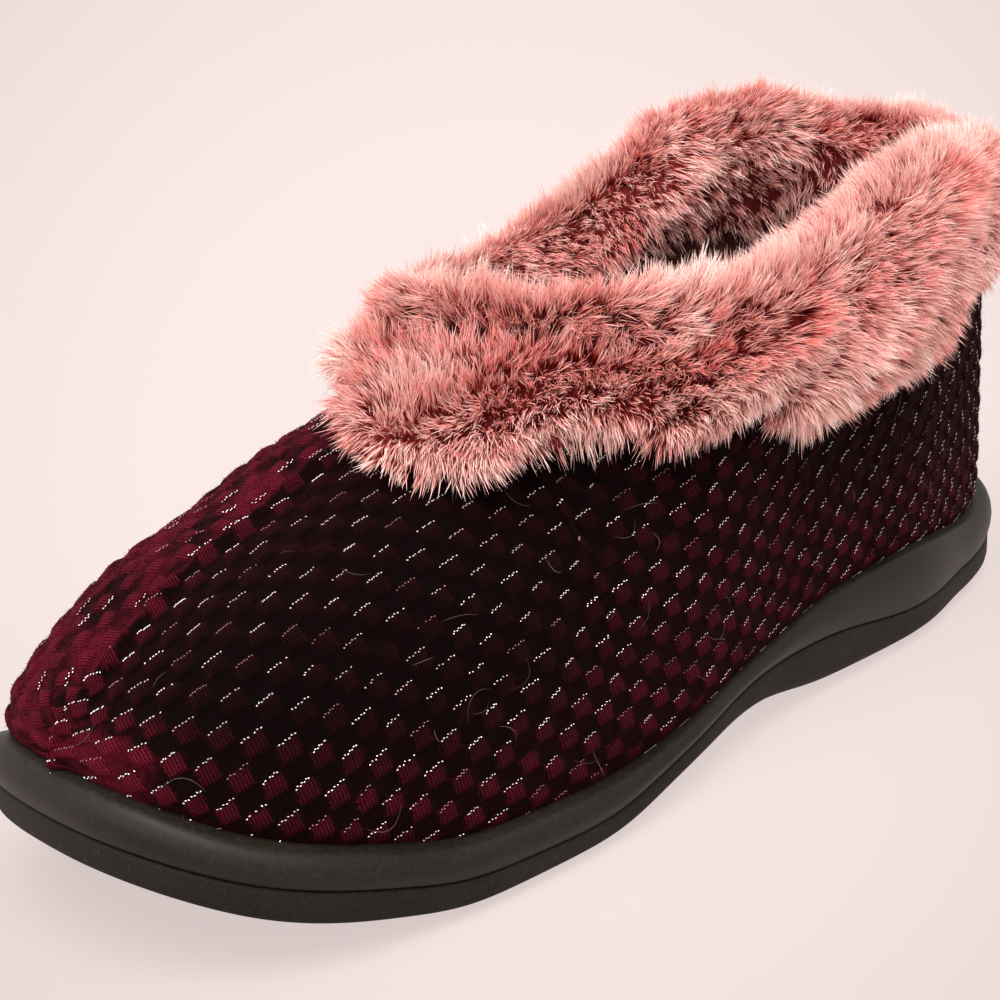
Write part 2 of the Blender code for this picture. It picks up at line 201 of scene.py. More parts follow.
def collar_height(station):
    return value(LAST, "collar", station) * COLLAR_HEIGHT


def on_last(station, height, side):
    """Points of the last at a height above the feather line."""
    share = np.clip(height / ridge_height(station), 0, 1)
    inset = value(SOLE, "feather", station) * FEATHER_INSET
    across = side * half_width(station, side, inset) * (1 - share ** ARCH_POWER) ** (1 / ARCH_POWER)
    base = foot_x(station, FEATHER_INSET)
    x = base + value(LAST, "lean", station) * HEEL_LEAN * (height / collar_height(station)) ** 2
    y = across - value(LAST, "shift", station) * SEAM_SHIFT * share
    return np.stack([x, y, platform_top(base) + GAP + height], -1)


def run_along(points):
    """Length run so far at each point of a line, or of many lines at once."""
    steps = np.linalg.norm(np.diff(points, axis=-2), axis=-1)
    return np.concatenate([np.zeros(steps.shape[:-1] + (1,)), np.cumsum(steps, -1)], -1)


def evenly(points, count):
    """The same line with its points evenly spaced."""
    run = run_along(points)
    marks = np.linspace(0, run[-1], count)
    return np.stack([np.interp(marks, run, points[:, k]) for k in range(3)], 1)


def normals_of(grid, towards_out):
    """Unit normals of a grid of points, turned to the side that towards_out points to."""
    normal = np.cross(np.gradient(grid, axis=0), np.gradient(grid, axis=1))
    normal /= np.maximum(np.linalg.norm(normal, axis=-1, keepdims=True), 1e-12)
    return normal * np.sign((normal * towards_out).sum())


# %% Soft noise, for everything that is uneven by hand


def soft_noise(u, v, seed):
    """Smooth uneven values from -1 to 1 over a plane."""
    lattice = np.random.default_rng(seed).uniform(-1, 1, (64, 64))
    i, j = np.floor(u).astype(int), np.floor(v).astype(int)
    s, t = u - i, v - j
    s, t = s * s * (3 - 2 * s), t * t * (3 - 2 * t)
    low = lattice[i % 64, j % 64] * (1 - s) + lattice[(i + 1) % 64, j % 64] * s
    high = lattice[i % 64, (j + 1) % 64] * (1 - s) + lattice[(i + 1) % 64, (j + 1) % 64] * s
    return low * (1 - t) + high * t


# %% [markdown]
# The camera stands in front of the toe on the outer side and looks down at the slipper. Its place,
# its three directions and its lens were worked out from the sole's outline. The three directions make
# a turned frame, which goes straight into the camera's matrix, so that it can also be rolled a little.

# %% Camera
VIEW_POINT = (0.36143, 0.24726, 0.16645)
LENS, SENSOR = 68.81, 36.0
back = Vector((0.66744, 0.67296, 0.31905)).normalized()
up = Vector((-0.25178, -0.19930, 0.94719))
right = up.cross(back).normalized()
up = back.cross(right)
camera_data = bpy.data.cameras.new("camera")
camera_data.lens = LENS
camera_data.sensor_width = SENSOR
camera = bpy.data.objects.new("camera", camera_data)
camera.matrix_world = Matrix.Translation(VIEW_POINT) @ Matrix((right, up, back)).transposed().to_4x4()
bpy.context.scene.collection.objects.link(camera)
bpy.context.scene.camera = camera
bpy.context.scene.view_settings.view_transform = "Standard"
print("camera stands", round(camera.location.length, 3), "m from the heel")

# %% [markdown]
# Every finish is a small tree of shader nodes. Placing nodes one by one takes several lines each, so a
# few helpers make a node, feed it from sockets or plain numbers and hand back the socket it puts out.
# Chained, they read like the sums that they are.

# %% Helpers for shader nodes


def new_group(name, inputs, outputs):
    """An empty shader group of numbers: inputs with the values that they start from, and outputs."""
    group = bpy.data.node_groups.new(name, "ShaderNodeTree")
    for label, start in inputs:
        socket = group.interface.new_socket(label, in_out="INPUT", socket_type="NodeSocketFloat")
        socket.default_value = start
    for label in outputs:
        group.interface.new_socket(label, in_out="OUTPUT", socket_type="NodeSocketFloat")
    return group, group.nodes.new("NodeGroupInput"), group.nodes.new("NodeGroupOutput")


def math_node(tree, operation, first, second=None, third=None):
    """A math node, fed by sockets or plain numbers, and its output."""
    node = tree.nodes.new("ShaderNodeMath")
    node.operation = operation
    for socket, given in zip(node.inputs, (first, second, third)):
        if given is None:
            continue
        if isinstance(given, (int, float)):
            socket.default_value = given
        else:
            tree.links.new(given, socket)
    return node.outputs[0]


def mix_color(tree, factor, first, second):
    """A colour mixed from two, each a socket or a plain colour."""
    node = tree.nodes.new("ShaderNodeMix")
    node.data_type = "RGBA"
    for socket, given in zip((node.inputs[0], node.inputs[6], node.inputs[7]), (factor, first, second)):
        if isinstance(given, tuple):
            socket.default_value = (*given, 1)
        elif isinstance(given, (int, float)):
            socket.default_value = given
        else:
            tree.links.new(given, socket)
    return node.outputs[2]


def noise_node(tree, vector, scale, detail=2.0, roughness=0.5):
    """Noise at the places that a vector socket gives."""
    node = tree.nodes.new("ShaderNodeTexNoise")
    node.inputs["Scale"].default_value = scale
    node.inputs["Detail"].default_value = detail
    node.inputs["Roughness"].default_value = roughness
    tree.links.new(vector, node.inputs["Vector"])
    return node.outputs["Fac"]


def spread(tree, given, low, high, to_low, to_high):
    """A value stretched from one range to another and kept inside it."""
    node = tree.nodes.new("ShaderNodeMapRange")
    tree.links.new(given, node.inputs["Value"])
    for socket, number in zip(list(node.inputs)[1:5], (low, high, to_low, to_high)):
        socket.default_value = number
    return node.outputs["Result"]


def vector_math(tree, operation, given, constant):
    """A vector node on a socket and a constant, and its output."""
    node = tree.nodes.new("ShaderNodeVectorMath")
    node.operation = operation
    tree.links.new(given, node.inputs[0])
    node.inputs[1].default_value = constant
    return node.outputs["Value" if operation == "DOT_PRODUCT" else "Vector"]


def own_map(tree):
    """The two numbers of a piece's own map, U and V."""
    chart = tree.nodes.new("ShaderNodeUVMap")
    chart.uv_map = "OFBake"
    parts = tree.nodes.new("ShaderNodeSeparateXYZ")
    tree.links.new(chart.outputs["UV"], parts.inputs["Vector"])
    return parts.outputs["X"], parts.outputs["Y"]


def place_on_piece(tree):
    """The place on the piece in metres, the same in every view."""
    return tree.nodes.new("ShaderNodeTexCoord").outputs["Object"]


def raise_surface(tree, shader, height, distance, strength=1.0):
    """Make a shader look raised where a height is high."""
    bump = tree.nodes.new("ShaderNodeBump")
    bump.inputs["Strength"].default_value = strength
    bump.inputs["Distance"].default_value = distance
    tree.links.new(height, bump.inputs["Height"])
    tree.links.new(bump.outputs["Normal"], shader.inputs["Normal"])


# %% [markdown]
# A pale floor fills the view. Lamps alone would leave it grey, so it also gives off light of its own,
# palest round the slipper and slowly dimmer outwards. How far out a spot lies is worked out from its
# place on the floor, so the shade stays where it is in every view. Light comes from one broad soft lamp
# above, another from the toe's side and an even pale sky, which leave only a soft shadow at the sole.

# %% Floor
FLOOR_HALF = 6.0
FLOOR_GLOW = 0.665
FLOOR_PALE, FLOOR_DIM = (1.0, 0.863, 0.837), (0.50, 0.4315, 0.4185)
DIM_RISE, DIM_START, DIM_MOST = 3.65, -0.125, 0.42


def principled(name, color=(0.8, 0.8, 0.8), roughness=0.5):
    """A new material and its shader."""
    made = bpy.data.materials.new(name)
    made.use_nodes = True
    shader = made.node_tree.nodes["Principled BSDF"]
    shader.inputs["Base Color"].default_value = (*color, 1)
    shader.inputs["Roughness"].default_value = roughness
    return made, shader


floor_mesh = bpy.data.meshes.new("floor")
builder = bmesh.new()
bmesh.ops.create_grid(builder, x_segments=1, y_segments=1, size=FLOOR_HALF)
builder.to_mesh(floor_mesh)
builder.free()
floor = bpy.data.objects.new("floor", floor_mesh)
floor_finish, floor_shader = principled("pale_floor", (0.16, 0.14, 0.137), 0.9)
floor_shader.inputs["Specular IOR Level"].default_value = 0.0
floor_shader.inputs["Emission Strength"].default_value = FLOOR_GLOW
tree = floor_finish.node_tree
offset = vector_math(tree, "SUBTRACT", place_on_piece(tree), VIEW_POINT)
ahead = vector_math(tree, "DOT_PRODUCT", offset, -back)
across = math_node(tree, "DIVIDE", vector_math(tree, "DOT_PRODUCT", offset, right), ahead)
upward = math_node(tree, "DIVIDE", vector_math(tree, "DOT_PRODUCT", offset, up), ahead)
across_squared = math_node(tree, "MULTIPLY", across, across)
upward_squared = math_node(tree, "MULTIPLY", upward, upward)
far_out = math_node(tree, "ADD", across_squared, upward_squared)
dimming = math_node(tree, "MULTIPLY_ADD", far_out, DIM_RISE, DIM_START)
dimming = math_node(tree, "MINIMUM", dimming, DIM_MOST)
tree.links.new(mix_color(tree, dimming, FLOOR_PALE, FLOOR_DIM), floor_shader.inputs["Emission Color"])
floor_mesh.materials.append(floor_finish)
bpy.context.scene.collection.objects.link(floor)
print("floor", 2 * FLOOR_HALF, "m wide")

# %% Lights


def soft_light(name, way, spread_angle, strength, color):
    """A broad, even light that shines along a way. The angle is how wide its source looks."""
    data = bpy.data.lights.new(name, "SUN")
    data.angle = math.radians(spread_angle)
    data.energy = strength
    data.color = color
    lamp = bpy.data.objects.new(name, data)
    lamp.location = (0, 0, 2)
    lamp.rotation_euler = Vector(way).to_track_quat("-Z", "Y").to_euler()
    bpy.context.scene.collection.objects.link(lamp)


soft_light("key_light", (-0.25, -0.30, -1.0), 50.0, 3.1, (1.0, 0.97, 0.95))
soft_light("toe_light", (-1.0, -0.10, -0.55), 70.0, 1.7, (1.0, 0.96, 0.94))
world = bpy.data.worlds.new("pale_sky")
world.use_nodes = True
sky = world.node_tree.nodes["Background"]
sky.inputs["Color"].default_value = (1.0, 0.95, 0.94, 1)
sky.inputs["Strength"].default_value = 0.75
bpy.context.scene.world = world
print("lamps", [lamp.name for lamp in bpy.data.lights])

# %% [markdown]
# Most pieces are lofts: a bmesh grid is wrapped over rows of points. The grid operator makes the faces,
# and its two ends are joined where the form goes right round.

# %% Wrapping a grid over rows of points


def wrapped(name, rows, closed, finish, uv=None):
    """A piece from a bmesh grid laid over rows of points, joined end to end if closed."""
    rows = np.asarray(rows)
    count, across = rows.shape[:2]
    builder = bmesh.new()
    bmesh.ops.create_grid(builder, x_segments=across - 1, y_segments=count - 1, size=1.0)
    builder.verts.ensure_lookup_table()
    at = np.array([(v.co.x, v.co.y) for v in builder.verts])
    i = np.rint((at[:, 1] + 1) / 2 * (count - 1)).astype(int)
    j = np.rint((at[:, 0] + 1) / 2 * (across - 1)).astype(int)
    for vert, place in zip(builder.verts, rows[i, j]):
        vert.co = place
    if uv is not None:
        layer = builder.loops.layers.uv.new("OFBake")
        flat = uv[i, j]
        for face in builder.faces:
            for loop in face.loops:
                loop[layer].uv = flat[loop.vert.index]
    if closed:
        bmesh.ops.remove_doubles(builder, verts=builder.verts, dist=1e-6)
    bmesh.ops.dissolve_degenerate(builder, dist=1e-7, edges=builder.edges)
    bmesh.ops.recalc_face_normals(builder, faces=builder.faces)
    return finished(name, builder, finish)


def finished(name, builder, finish):
    """A bmesh as a shown piece that rides on the slipper's one body."""
    mesh = bpy.data.meshes.new(name)
    builder.to_mesh(mesh)
    builder.free()
    mesh.materials.append(finish)
    mesh.shade_smooth()
    return placed(name, mesh)


def placed(name, mesh):
    piece = bpy.data.objects.new(name, mesh)
    bpy.context.scene.collection.objects.link(piece)
    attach(piece, "root")
    print(name, len(mesh.polygons), "faces")
    return piece


# %% [markdown]
# Thin things, hairs above all, come by the ten thousand. Each is a flat ribbon of a few faces that
# tapers to a point, and one mesh holds them all. The map's U says which tone a hair has, and V runs
# from its root to its tip, so one small chart of colours serves every hair.

# %% Ribbons


def ribbons(name, spine, width, side, tone, finish):
    """One mesh of tapering ribbons: spine (hair, point, xyz), width (point), side (hair, xyz)."""
    count, points = spine.shape[:2]
    half = 0.5 * width[None, :-1, None] * side[:, None, :]
    body = spine[:, :-1]
    pairs = np.stack([body - half, body + half], 2).reshape(count, -1, 3)
    verts = np.concatenate([pairs, spine[:, -1:]], 1)
    per_hair = verts.shape[1]
    quads = np.array([(2 * k, 2 * k + 1, 2 * k + 3, 2 * k + 2) for k in range(points - 2)])
    tip = np.array([(2 * points - 4, 2 * points - 3, 2 * points - 2)])
    corners = np.concatenate([quads.ravel(), tip.ravel()]).astype(int)
    sizes = np.array([4] * len(quads) + [3])
    base = np.arange(count)[:, None] * per_hair
    mesh = bpy.data.meshes.new(name)
    mesh.vertices.add(count * per_hair)
    mesh.vertices.foreach_set("co", verts.astype(np.float32).ravel())
    mesh.loops.add(count * len(corners))
    mesh.loops.foreach_set("vertex_index", (base + corners).ravel())
    starts = np.concatenate([[0], np.cumsum(sizes)[:-1]])
    mesh.polygons.add(count * len(sizes))
    mesh.polygons.foreach_set("loop_start", (np.arange(count)[:, None] * len(corners) + starts).ravel())
    mesh.polygons.foreach_set("loop_total", np.tile(sizes, count))
    layer = mesh.uv_layers.new(name="OFBake")
    along = (corners // 2) / (points - 1)
    pairs_uv = np.stack(np.broadcast_arrays(tone[:, None], along[None, :]), -1)
    layer.data.foreach_set("uv", pairs_uv.astype(np.float32).ravel())
    mesh.materials.append(finish)
    mesh.update(calc_edges=True)
    mesh.validate()
    mesh.shade_smooth()
    return placed(name, mesh)


# %% [markdown]
# The sole has two layers of moulded, foamed rubber. The upper one is covered with a smooth dark film
# and the lower one is left grainy. Grain, tone and dust come from one shader group, built once and
# placed in both finishes with values of their own.

# %% Shader group: grain
CLOUD_SCALE, SPECK_SCALE = 38.0, 620.0
grain, grain_in, grain_out = new_group(
    "rubber_grain", [("Scale", 900.0), ("Dust", 0.3)], ["Height", "Tone", "Dust"])
place = place_on_piece(grain)
fine = grain.nodes.new("ShaderNodeTexNoise")
fine.inputs["Detail"].default_value = 4.0
grain.links.new(place, fine.inputs["Vector"])
grain.links.new(grain_in.outputs["Scale"], fine.inputs["Scale"])
clouds = noise_node(grain, place, CLOUD_SCALE, 4.0, 0.6)
specks = noise_node(grain, place, SPECK_SCALE, 2.0)
dust = math_node(grain, "MULTIPLY", spread(grain, specks, 0.60, 0.74, 0, 1), grain_in.outputs["Dust"])
dust = math_node(grain, "MULTIPLY", dust, spread(grain, clouds, 0.35, 0.7, 0.2, 1))
half_clouds = math_node(grain, "MULTIPLY", clouds, 0.5)
tone = math_node(grain, "MULTIPLY_ADD", fine.outputs["Fac"], 0.5, half_clouds)
grain.links.new(fine.outputs["Fac"], grain_out.inputs["Height"])
grain.links.new(tone, grain_out.inputs["Tone"])
grain.links.new(dust, grain_out.inputs["Dust"])
print("grain group of", len(grain.nodes), "nodes")

# %% The two finishes of the sole
RUBBER_GLOSS = 0.22
GRAIN_DEPTH = 0.0004


def rubber(name, colors, roughness, scale, bump, dust_share):
    """Foamed rubber with grain and a little dust. colors are its dark and light tones and its dust."""
    dark, light, dusty = colors
    made, shader = principled(name, dark, roughness)
    tree = made.node_tree
    group = tree.nodes.new("ShaderNodeGroup")
    group.node_tree = grain
    group.inputs["Scale"].default_value = scale
    group.inputs["Dust"].default_value = dust_share
    tone = spread(tree, group.outputs["Tone"], 0.38, 0.62, 0, 1)
    plain = mix_color(tree, tone, dark, light)
    tree.links.new(mix_color(tree, group.outputs["Dust"], plain, dusty), shader.inputs["Base Color"])
    tree.links.new(spread(tree, group.outputs["Tone"], 0.3, 0.7, roughness - 0.06, roughness + 0.08),
                   shader.inputs["Roughness"])
    shader.inputs["Specular IOR Level"].default_value = RUBBER_GLOSS
    raise_surface(tree, shader, group.outputs["Height"], GRAIN_DEPTH, bump)
    return made


FILM_COLORS = ((0.0072, 0.0052, 0.0038), (0.0165, 0.0124, 0.0090), (0.040, 0.034, 0.028))
FOAM_COLORS = ((0.0048, 0.0034, 0.0025), (0.0180, 0.0134, 0.0100), (0.045, 0.039, 0.032))
film = rubber("platform_film", FILM_COLORS, roughness=0.46, scale=1500.0, bump=0.10, dust_share=0.35)
foam = rubber("sole_foam", FOAM_COLORS, roughness=0.74, scale=2100.0, bump=0.55, dust_share=0.6)
print("sole finishes:", film.name, "and", foam.name)

# %% [markdown]
# Each layer is a loft of outlines stacked from below. The upper one swells a little and rounds over at
# the top. The lower one is thickest under the heel and is rolled under at its edge. Between them runs a
# thin groove. The two ends of each loft are closed along the middle line.

# %% Outlines of the sole
OUTLINE_STEPS = 230


def sole_ring(inset, height):
    """Closed outline of the sole at a height: outer side from heel to toe, then inner side back."""
    station = (1 - np.cos(np.linspace(0, np.pi, OUTLINE_STEPS))) / 2
    x, z = foot_x(station, inset), height(station)
    outer = np.stack([x, half_width(station, OUTER, inset), z], 1)
    inner = np.stack([x, -half_width(station, INNER, inset), z], 1)
    return np.concatenate([outer, inner[::-1]])


def flattened(ring):
    """A ring pressed onto the middle line, which closes a loft."""
    half = len(ring) // 2
    line = (ring[:half] + ring[:half - 1:-1]) / 2
    return np.concatenate([line, line[::-1]])


def between(low, high, share):
    """A height that lies a share of the way from one height of the sole to another."""
    return lambda s: low(s) * (1 - share) + high(s) * share


# %% The platform
GROOVE_LIP = 0.0003
PLATFORM_PROFILE = (
    (0.0005, 0.00), (0.0002, 0.02), (0.0000, 0.07), (-0.0002, 0.16), (-0.0005, 0.32), (-0.0006, 0.50),
    (-0.0004, 0.68), (0.0000, 0.82), (0.0005, 0.92), (0.0011, 0.98), (0.0019, 1.00), (0.0060, 1.00),
)
rings = [sole_ring(inset, between(lambda s: groove_height(s) + GROOVE_LIP / 2, feather_height, share))
         for inset, share in PLATFORM_PROFILE]
rows = [flattened(rings[0])] + rings + [flattened(rings[-1])]
platform = wrapped("platform_band", rows, True, film)
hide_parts("midsole")

# %% The outsole
EDGE_ROLL = 0.0048
TREAD_INSET = 0.0100
TREAD_RISE = 0.0012
ROLL_PROFILE = (
    (1.00, 0.00), (0.80, 0.03), (0.60, 0.09), (0.42, 0.18),
    (0.26, 0.31), (0.13, 0.48), (0.04, 0.70), (0.00, 1.00),
)
TOP_PROFILE = ((0.0, 0.0010), (0.0001, 0.0004), (0.0005, 0.0001))


def rolled(share):
    """A height on the rolled edge, as a share of the roll's own height."""
    return lambda s: underside(s) + TREAD_RISE + share * value(SOLE, "edge", s) * OUTSOLE_HEEL


rings = [sole_ring(TREAD_INSET, underside)]
rings += [sole_ring(EDGE_ROLL * inset, rolled(share)) for inset, share in ROLL_PROFILE]
for inset, below in TOP_PROFILE:
    rings.append(sole_ring(inset, lambda s, below=below: groove_height(s) - below))
rows = [flattened(rings[0])] + rings + [flattened(rings[-1])]
outsole = wrapped("outsole_layer", rows, True, foam)
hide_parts("outsole")

# %% [markdown]
# The upper is woven pile cloth, cut as two panels that meet in a seam over the foot. Its checks are
# squares of ribbed pile between squares of plain dark pile, each ribbed one with a short metallic
# thread along its upper edge. A panel's points run from heel to toe and up from the feather line.

# %% The lines of a panel
COLUMNS, ROWS = 400, 104
FINE, FINE_UP = 3000, 160


def panel_lines(side, columns, rows):
    """Points of one side of the last, heel to toe and from the feather line to collar or seam."""
    fine = (1 - np.cos(np.linspace(0, np.pi, FINE))) / 2
    run = run_along(on_last(fine, np.zeros(FINE), side))
    station = np.clip(np.interp(np.linspace(0, run[-1], columns), run, fine), 1e-6, 1 - 1e-6)
    ridge = ridge_height(station)
    top = np.minimum(ridge, collar_height(station))
    last_turn = np.arcsin(np.clip((top / ridge) ** (ARCH_POWER / 2), 0, 1))
    turn = np.linspace(0, 1, FINE_UP)[None, :] * last_turn[:, None]
    height = ridge[:, None] * np.sin(turn) ** (2 / ARCH_POWER)
    lines = on_last(station[:, None] + 0 * height, np.minimum(height, top[:, None]), side)
    return station, np.array([evenly(line, rows) for line in lines])


# %% [markdown]
# A panel is cut flat and pulled over the last, so its rows of checks run along the shoe and dip towards
# the toe. Measuring along each line of the panel gives every point a place in the weave, in checks.
# Both the relief and the colours are read from that place, so they stay together.

# %% How the cloth lies
GRAIN_LINE = table(
    ("at", "slope"),
    (
        (0.000, 0.00), (0.250, 0.00), (0.350, 0.08), (0.450, 0.13), (0.720, 0.12),
        (0.800, 0.18), (0.870, 0.28), (0.920, 0.40), (0.957, 0.60), (1.000, 0.95),
    ),
)
CELL_LONG, CELL_HIGH = 0.0048, 0.0036
CELL_SHEAR = 0.22


def cloth_lattice(lines, station):
    """Places along and up the cloth's grain, in cells, for the points of a panel."""
    along = run_along(lines.transpose(1, 0, 2)).T
    up_run = run_along(lines)
    x = foot_x(station, FEATHER_INSET)
    slope = value(GRAIN_LINE, "slope", station)
    fall = np.concatenate([[0], np.cumsum(np.diff(x) * (slope[1:] + slope[:-1]) / 2)])
    rise = up_run + fall[:, None] + platform_top(x)[:, None]
    return (along - CELL_SHEAR * up_run) / CELL_LONG, rise / CELL_HIGH, up_run


def ribbed_square(cell_along, cell_up):
    """1 on a ribbed square and 0 on a plain one."""
    return (np.floor(cell_along) + np.floor(cell_up)) % 2


# %% The relief of the cloth
PILLOW = 0.00055
SEAM_FOLD = {OUTER: 0.0016, INNER: -0.0004}
SEAM_FOLD_AT, SEAM_FOLD_WIDE = 0.0017, 0.0012
CHANNEL_DEEP, CHANNEL_WIDE = 0.0012, 0.0008
TUCK_DEEP, TUCK_WIDE = 0.0007, 0.0012
FLAT_AT_FEATHER = 0.002


def cloth_relief(cell_along, cell_up, from_seam, from_feather, fold_height):
    """How far each point stands off the last: raised squares, the seam's fold, the tuck at the sole."""
    wave = 0.12 * soft_noise(cell_along * 1.7, cell_up * 1.7, 11)
    a, b = cell_along + wave, cell_up + 0.7 * wave
    ribbed = ribbed_square(a, b)
    shape = (1 - np.abs(2 * (a % 1) - 1) ** 4) * (1 - np.abs(2 * (b % 1) - 1) ** 4)
    uneven = 1 + 0.3 * soft_noise(cell_along * 0.6, cell_up * 0.6, 12)
    relief = PILLOW * (ribbed * shape * uneven - 0.25 * (1 - ribbed))
    relief = relief * (1 - np.exp(-(from_feather / FLAT_AT_FEATHER) ** 2))
    fold = fold_height * np.exp(-((from_seam - SEAM_FOLD_AT) / SEAM_FOLD_WIDE) ** 2)
    channel = CHANNEL_DEEP * np.exp(-(from_seam / CHANNEL_WIDE) ** 2)
    tuck = TUCK_DEEP * np.exp(-(from_feather / TUCK_WIDE) ** 2)
    return relief + fold - channel - tuck


# %% [markdown]
# Pile cloth swallows the light that falls straight on it and glows where it is seen along the surface.
# That is what the sheen does. The ribs are bump across each ribbed square, drawn in the cloth's own
# map, so they bend with the cloth. The painted sheen value says where the pile is painted paler, as painted
# sheen.

# %% Shader group: checks and ribs of the cloth
MAP_ALONG, MAP_UP = 80.0, 60.0
RIBS, LOOPS = 7.0, 34.0
weave, weave_in, weave_out = new_group(
    "checked_weave", [("Ribs", RIBS)], ["Square", "Rib", "Height", "Mottle"])
map_u, map_v = own_map(weave)
cell_u = math_node(weave, "MULTIPLY", map_u, MAP_ALONG)
cell_v = math_node(weave, "MULTIPLY", map_v, MAP_UP)
cells = weave.nodes.new("ShaderNodeCombineXYZ")
weave.links.new(cell_u, cells.inputs["X"])
weave.links.new(cell_v, cells.inputs["Y"])
in_cells = cells.outputs["Vector"]
fray = noise_node(weave, in_cells, 6.0, 5.0, 0.75)
frayed = math_node(weave, "MULTIPLY_ADD", fray, 0.9, -0.45)
fine_u = math_node(weave, "ADD", cell_u, frayed)
fine_v = math_node(weave, "ADD", cell_v, frayed)
parity = math_node(weave, "ADD", math_node(weave, "FLOOR", fine_u), math_node(weave, "FLOOR", fine_v))
square = math_node(weave, "MODULO", parity, 2.0)
off_u = math_node(weave, "ABSOLUTE", math_node(weave, "SUBTRACT", math_node(weave, "FRACT", fine_u), 0.5))
off_v = math_node(weave, "ABSOLUTE", math_node(weave, "SUBTRACT", math_node(weave, "FRACT", fine_v), 0.5))
edge = math_node(weave, "MAXIMUM", off_u, off_v)
edge = math_node(weave, "ADD", edge, math_node(weave, "MULTIPLY", frayed, 0.25))
square = math_node(weave, "MULTIPLY", square, spread(weave, edge, 0.34, 0.47, 1, 0))
ribs_run = math_node(weave, "MULTIPLY", cell_u, weave_in.outputs["Ribs"])
phase = math_node(weave, "MULTIPLY", ribs_run, 2 * math.pi)
wobble = math_node(weave, "MULTIPLY", fray, 3.0)
rib = math_node(weave, "SINE", math_node(weave, "ADD", phase, wobble))
rib = math_node(weave, "MULTIPLY_ADD", rib, 0.5, 0.5)
loops = math_node(weave, "SINE", math_node(weave, "MULTIPLY", cell_v, LOOPS))
loops = math_node(weave, "MULTIPLY_ADD", loops, 0.22, 0.78)
flecks = spread(weave, noise_node(weave, in_cells, 9.0, 4.0, 0.8), 0.36, 0.64, 0.25, 1.15)
rib = math_node(weave, "MULTIPLY", math_node(weave, "MULTIPLY", rib, loops), flecks)
tufts = noise_node(weave, in_cells, 16.0, 3.0, 0.7)
height = math_node(weave, "MULTIPLY", rib, square)
height = math_node(weave, "ADD", height, math_node(weave, "MULTIPLY", tufts, 0.8))
mottle = noise_node(weave, in_cells, 0.35, 3.0, 0.6)
for label, given in (("Square", square), ("Rib", rib), ("Height", height), ("Mottle", mottle)):
    weave.links.new(given, weave_out.inputs[label])
print("weave group of", len(weave.nodes), "nodes")

# %% The pile cloth
PILE_DEPTH = 0.0004
cloth, cloth_shader = principled("pile_cloth_checked", (0.05, 0.004, 0.01), 0.85)
tree = cloth.node_tree
checks = tree.nodes.new("ShaderNodeGroup")
checks.node_tree = weave
# Painted sheen: this attribute makes the pile paler where its sheen is painted in, and near black elsewhere.
painted_sheen = tree.nodes.new("ShaderNodeAttribute")
painted_sheen.attribute_name = "painted_sheen"
# Along each rib the crest is painted paler and the groove darker: painted shade in the grooves, on top of
# the bump.
rib_sheen_color = mix_color(tree, checks.outputs["Rib"], (0.024, 0.0010, 0.0028), (0.36, 0.017, 0.052))
rib_dark = mix_color(tree, checks.outputs["Rib"], (0.0016, 0.0002, 0.0003), (0.0050, 0.0004, 0.0006))
mottled = spread(tree, checks.outputs["Mottle"], 0.35, 0.6, 0.55, 1.0)
sheen_mottled = math_node(tree, "MULTIPLY", painted_sheen.outputs["Fac"], mottled)
ribbed_color = mix_color(tree, sheen_mottled, rib_dark, rib_sheen_color)
plain_color = mix_color(tree, sheen_mottled, (0.0018, 0.0002, 0.0003), (0.0055, 0.0004, 0.0007))
# The plain squares are painted paler too where the painted sheen is strongest.
plain_sheen_color = mix_color(tree, checks.outputs["Rib"], (0.050, 0.0018, 0.0062), (0.19, 0.008, 0.028))
plain_color = mix_color(tree, spread(tree, sheen_mottled, 0.62, 0.92, 0, 0.8), plain_color, plain_sheen_color)
tree.links.new(mix_color(tree, checks.outputs["Square"], plain_color, ribbed_color),
               cloth_shader.inputs["Base Color"])
raise_surface(tree, cloth_shader, checks.outputs["Height"], PILE_DEPTH, 0.9)
cloth_shader.inputs["Specular IOR Level"].default_value = 0.05
cloth_shader.inputs["Sheen Weight"].default_value = 0.07
cloth_shader.inputs["Sheen Roughness"].default_value = 0.35
cloth_shader.inputs["Sheen Tint"].default_value = (0.75, 0.08, 0.14, 1)
print("cloth finish of", len(tree.nodes), "nodes")

# %% Where the pile's sheen is painted into its colour


def ease(values, low, high):
    """0 below low, 1 above high and smooth between."""
    t = np.clip((values - low) / (high - low), 0, 1)
    return t * t * (3 - 2 * t)


def painted_sheen_share(station, up_run, from_seam, side):
    """Painted sheen: 1 where the pile is painted as glowing, as low on the sides, by the seam and on the
    inner side; near 0 elsewhere.
    """
    reach_up = 0.024 + 0.048 * np.exp(-((station - 0.54) / 0.11) ** 2)
    low = 1 - ease(up_run, 0.006, reach_up)
    tip = ease(station, 0.955, 0.995)
    heel = (1 - ease(station, 0.0, 0.10)) * (0.4 + 0.6 * low)
    seam = np.exp(-(from_seam / 0.0042) ** 2) * ease(station, 0.58, 0.90)
    outer = 0.01 + 0.99 * np.clip(0.42 * low + 0.75 * tip + 0.30 * heel + 0.95 * seam, 0, 1)
    inner = 0.92 + 0.08 * tip + np.zeros_like(up_run)
    return outer if side == OUTER else inner


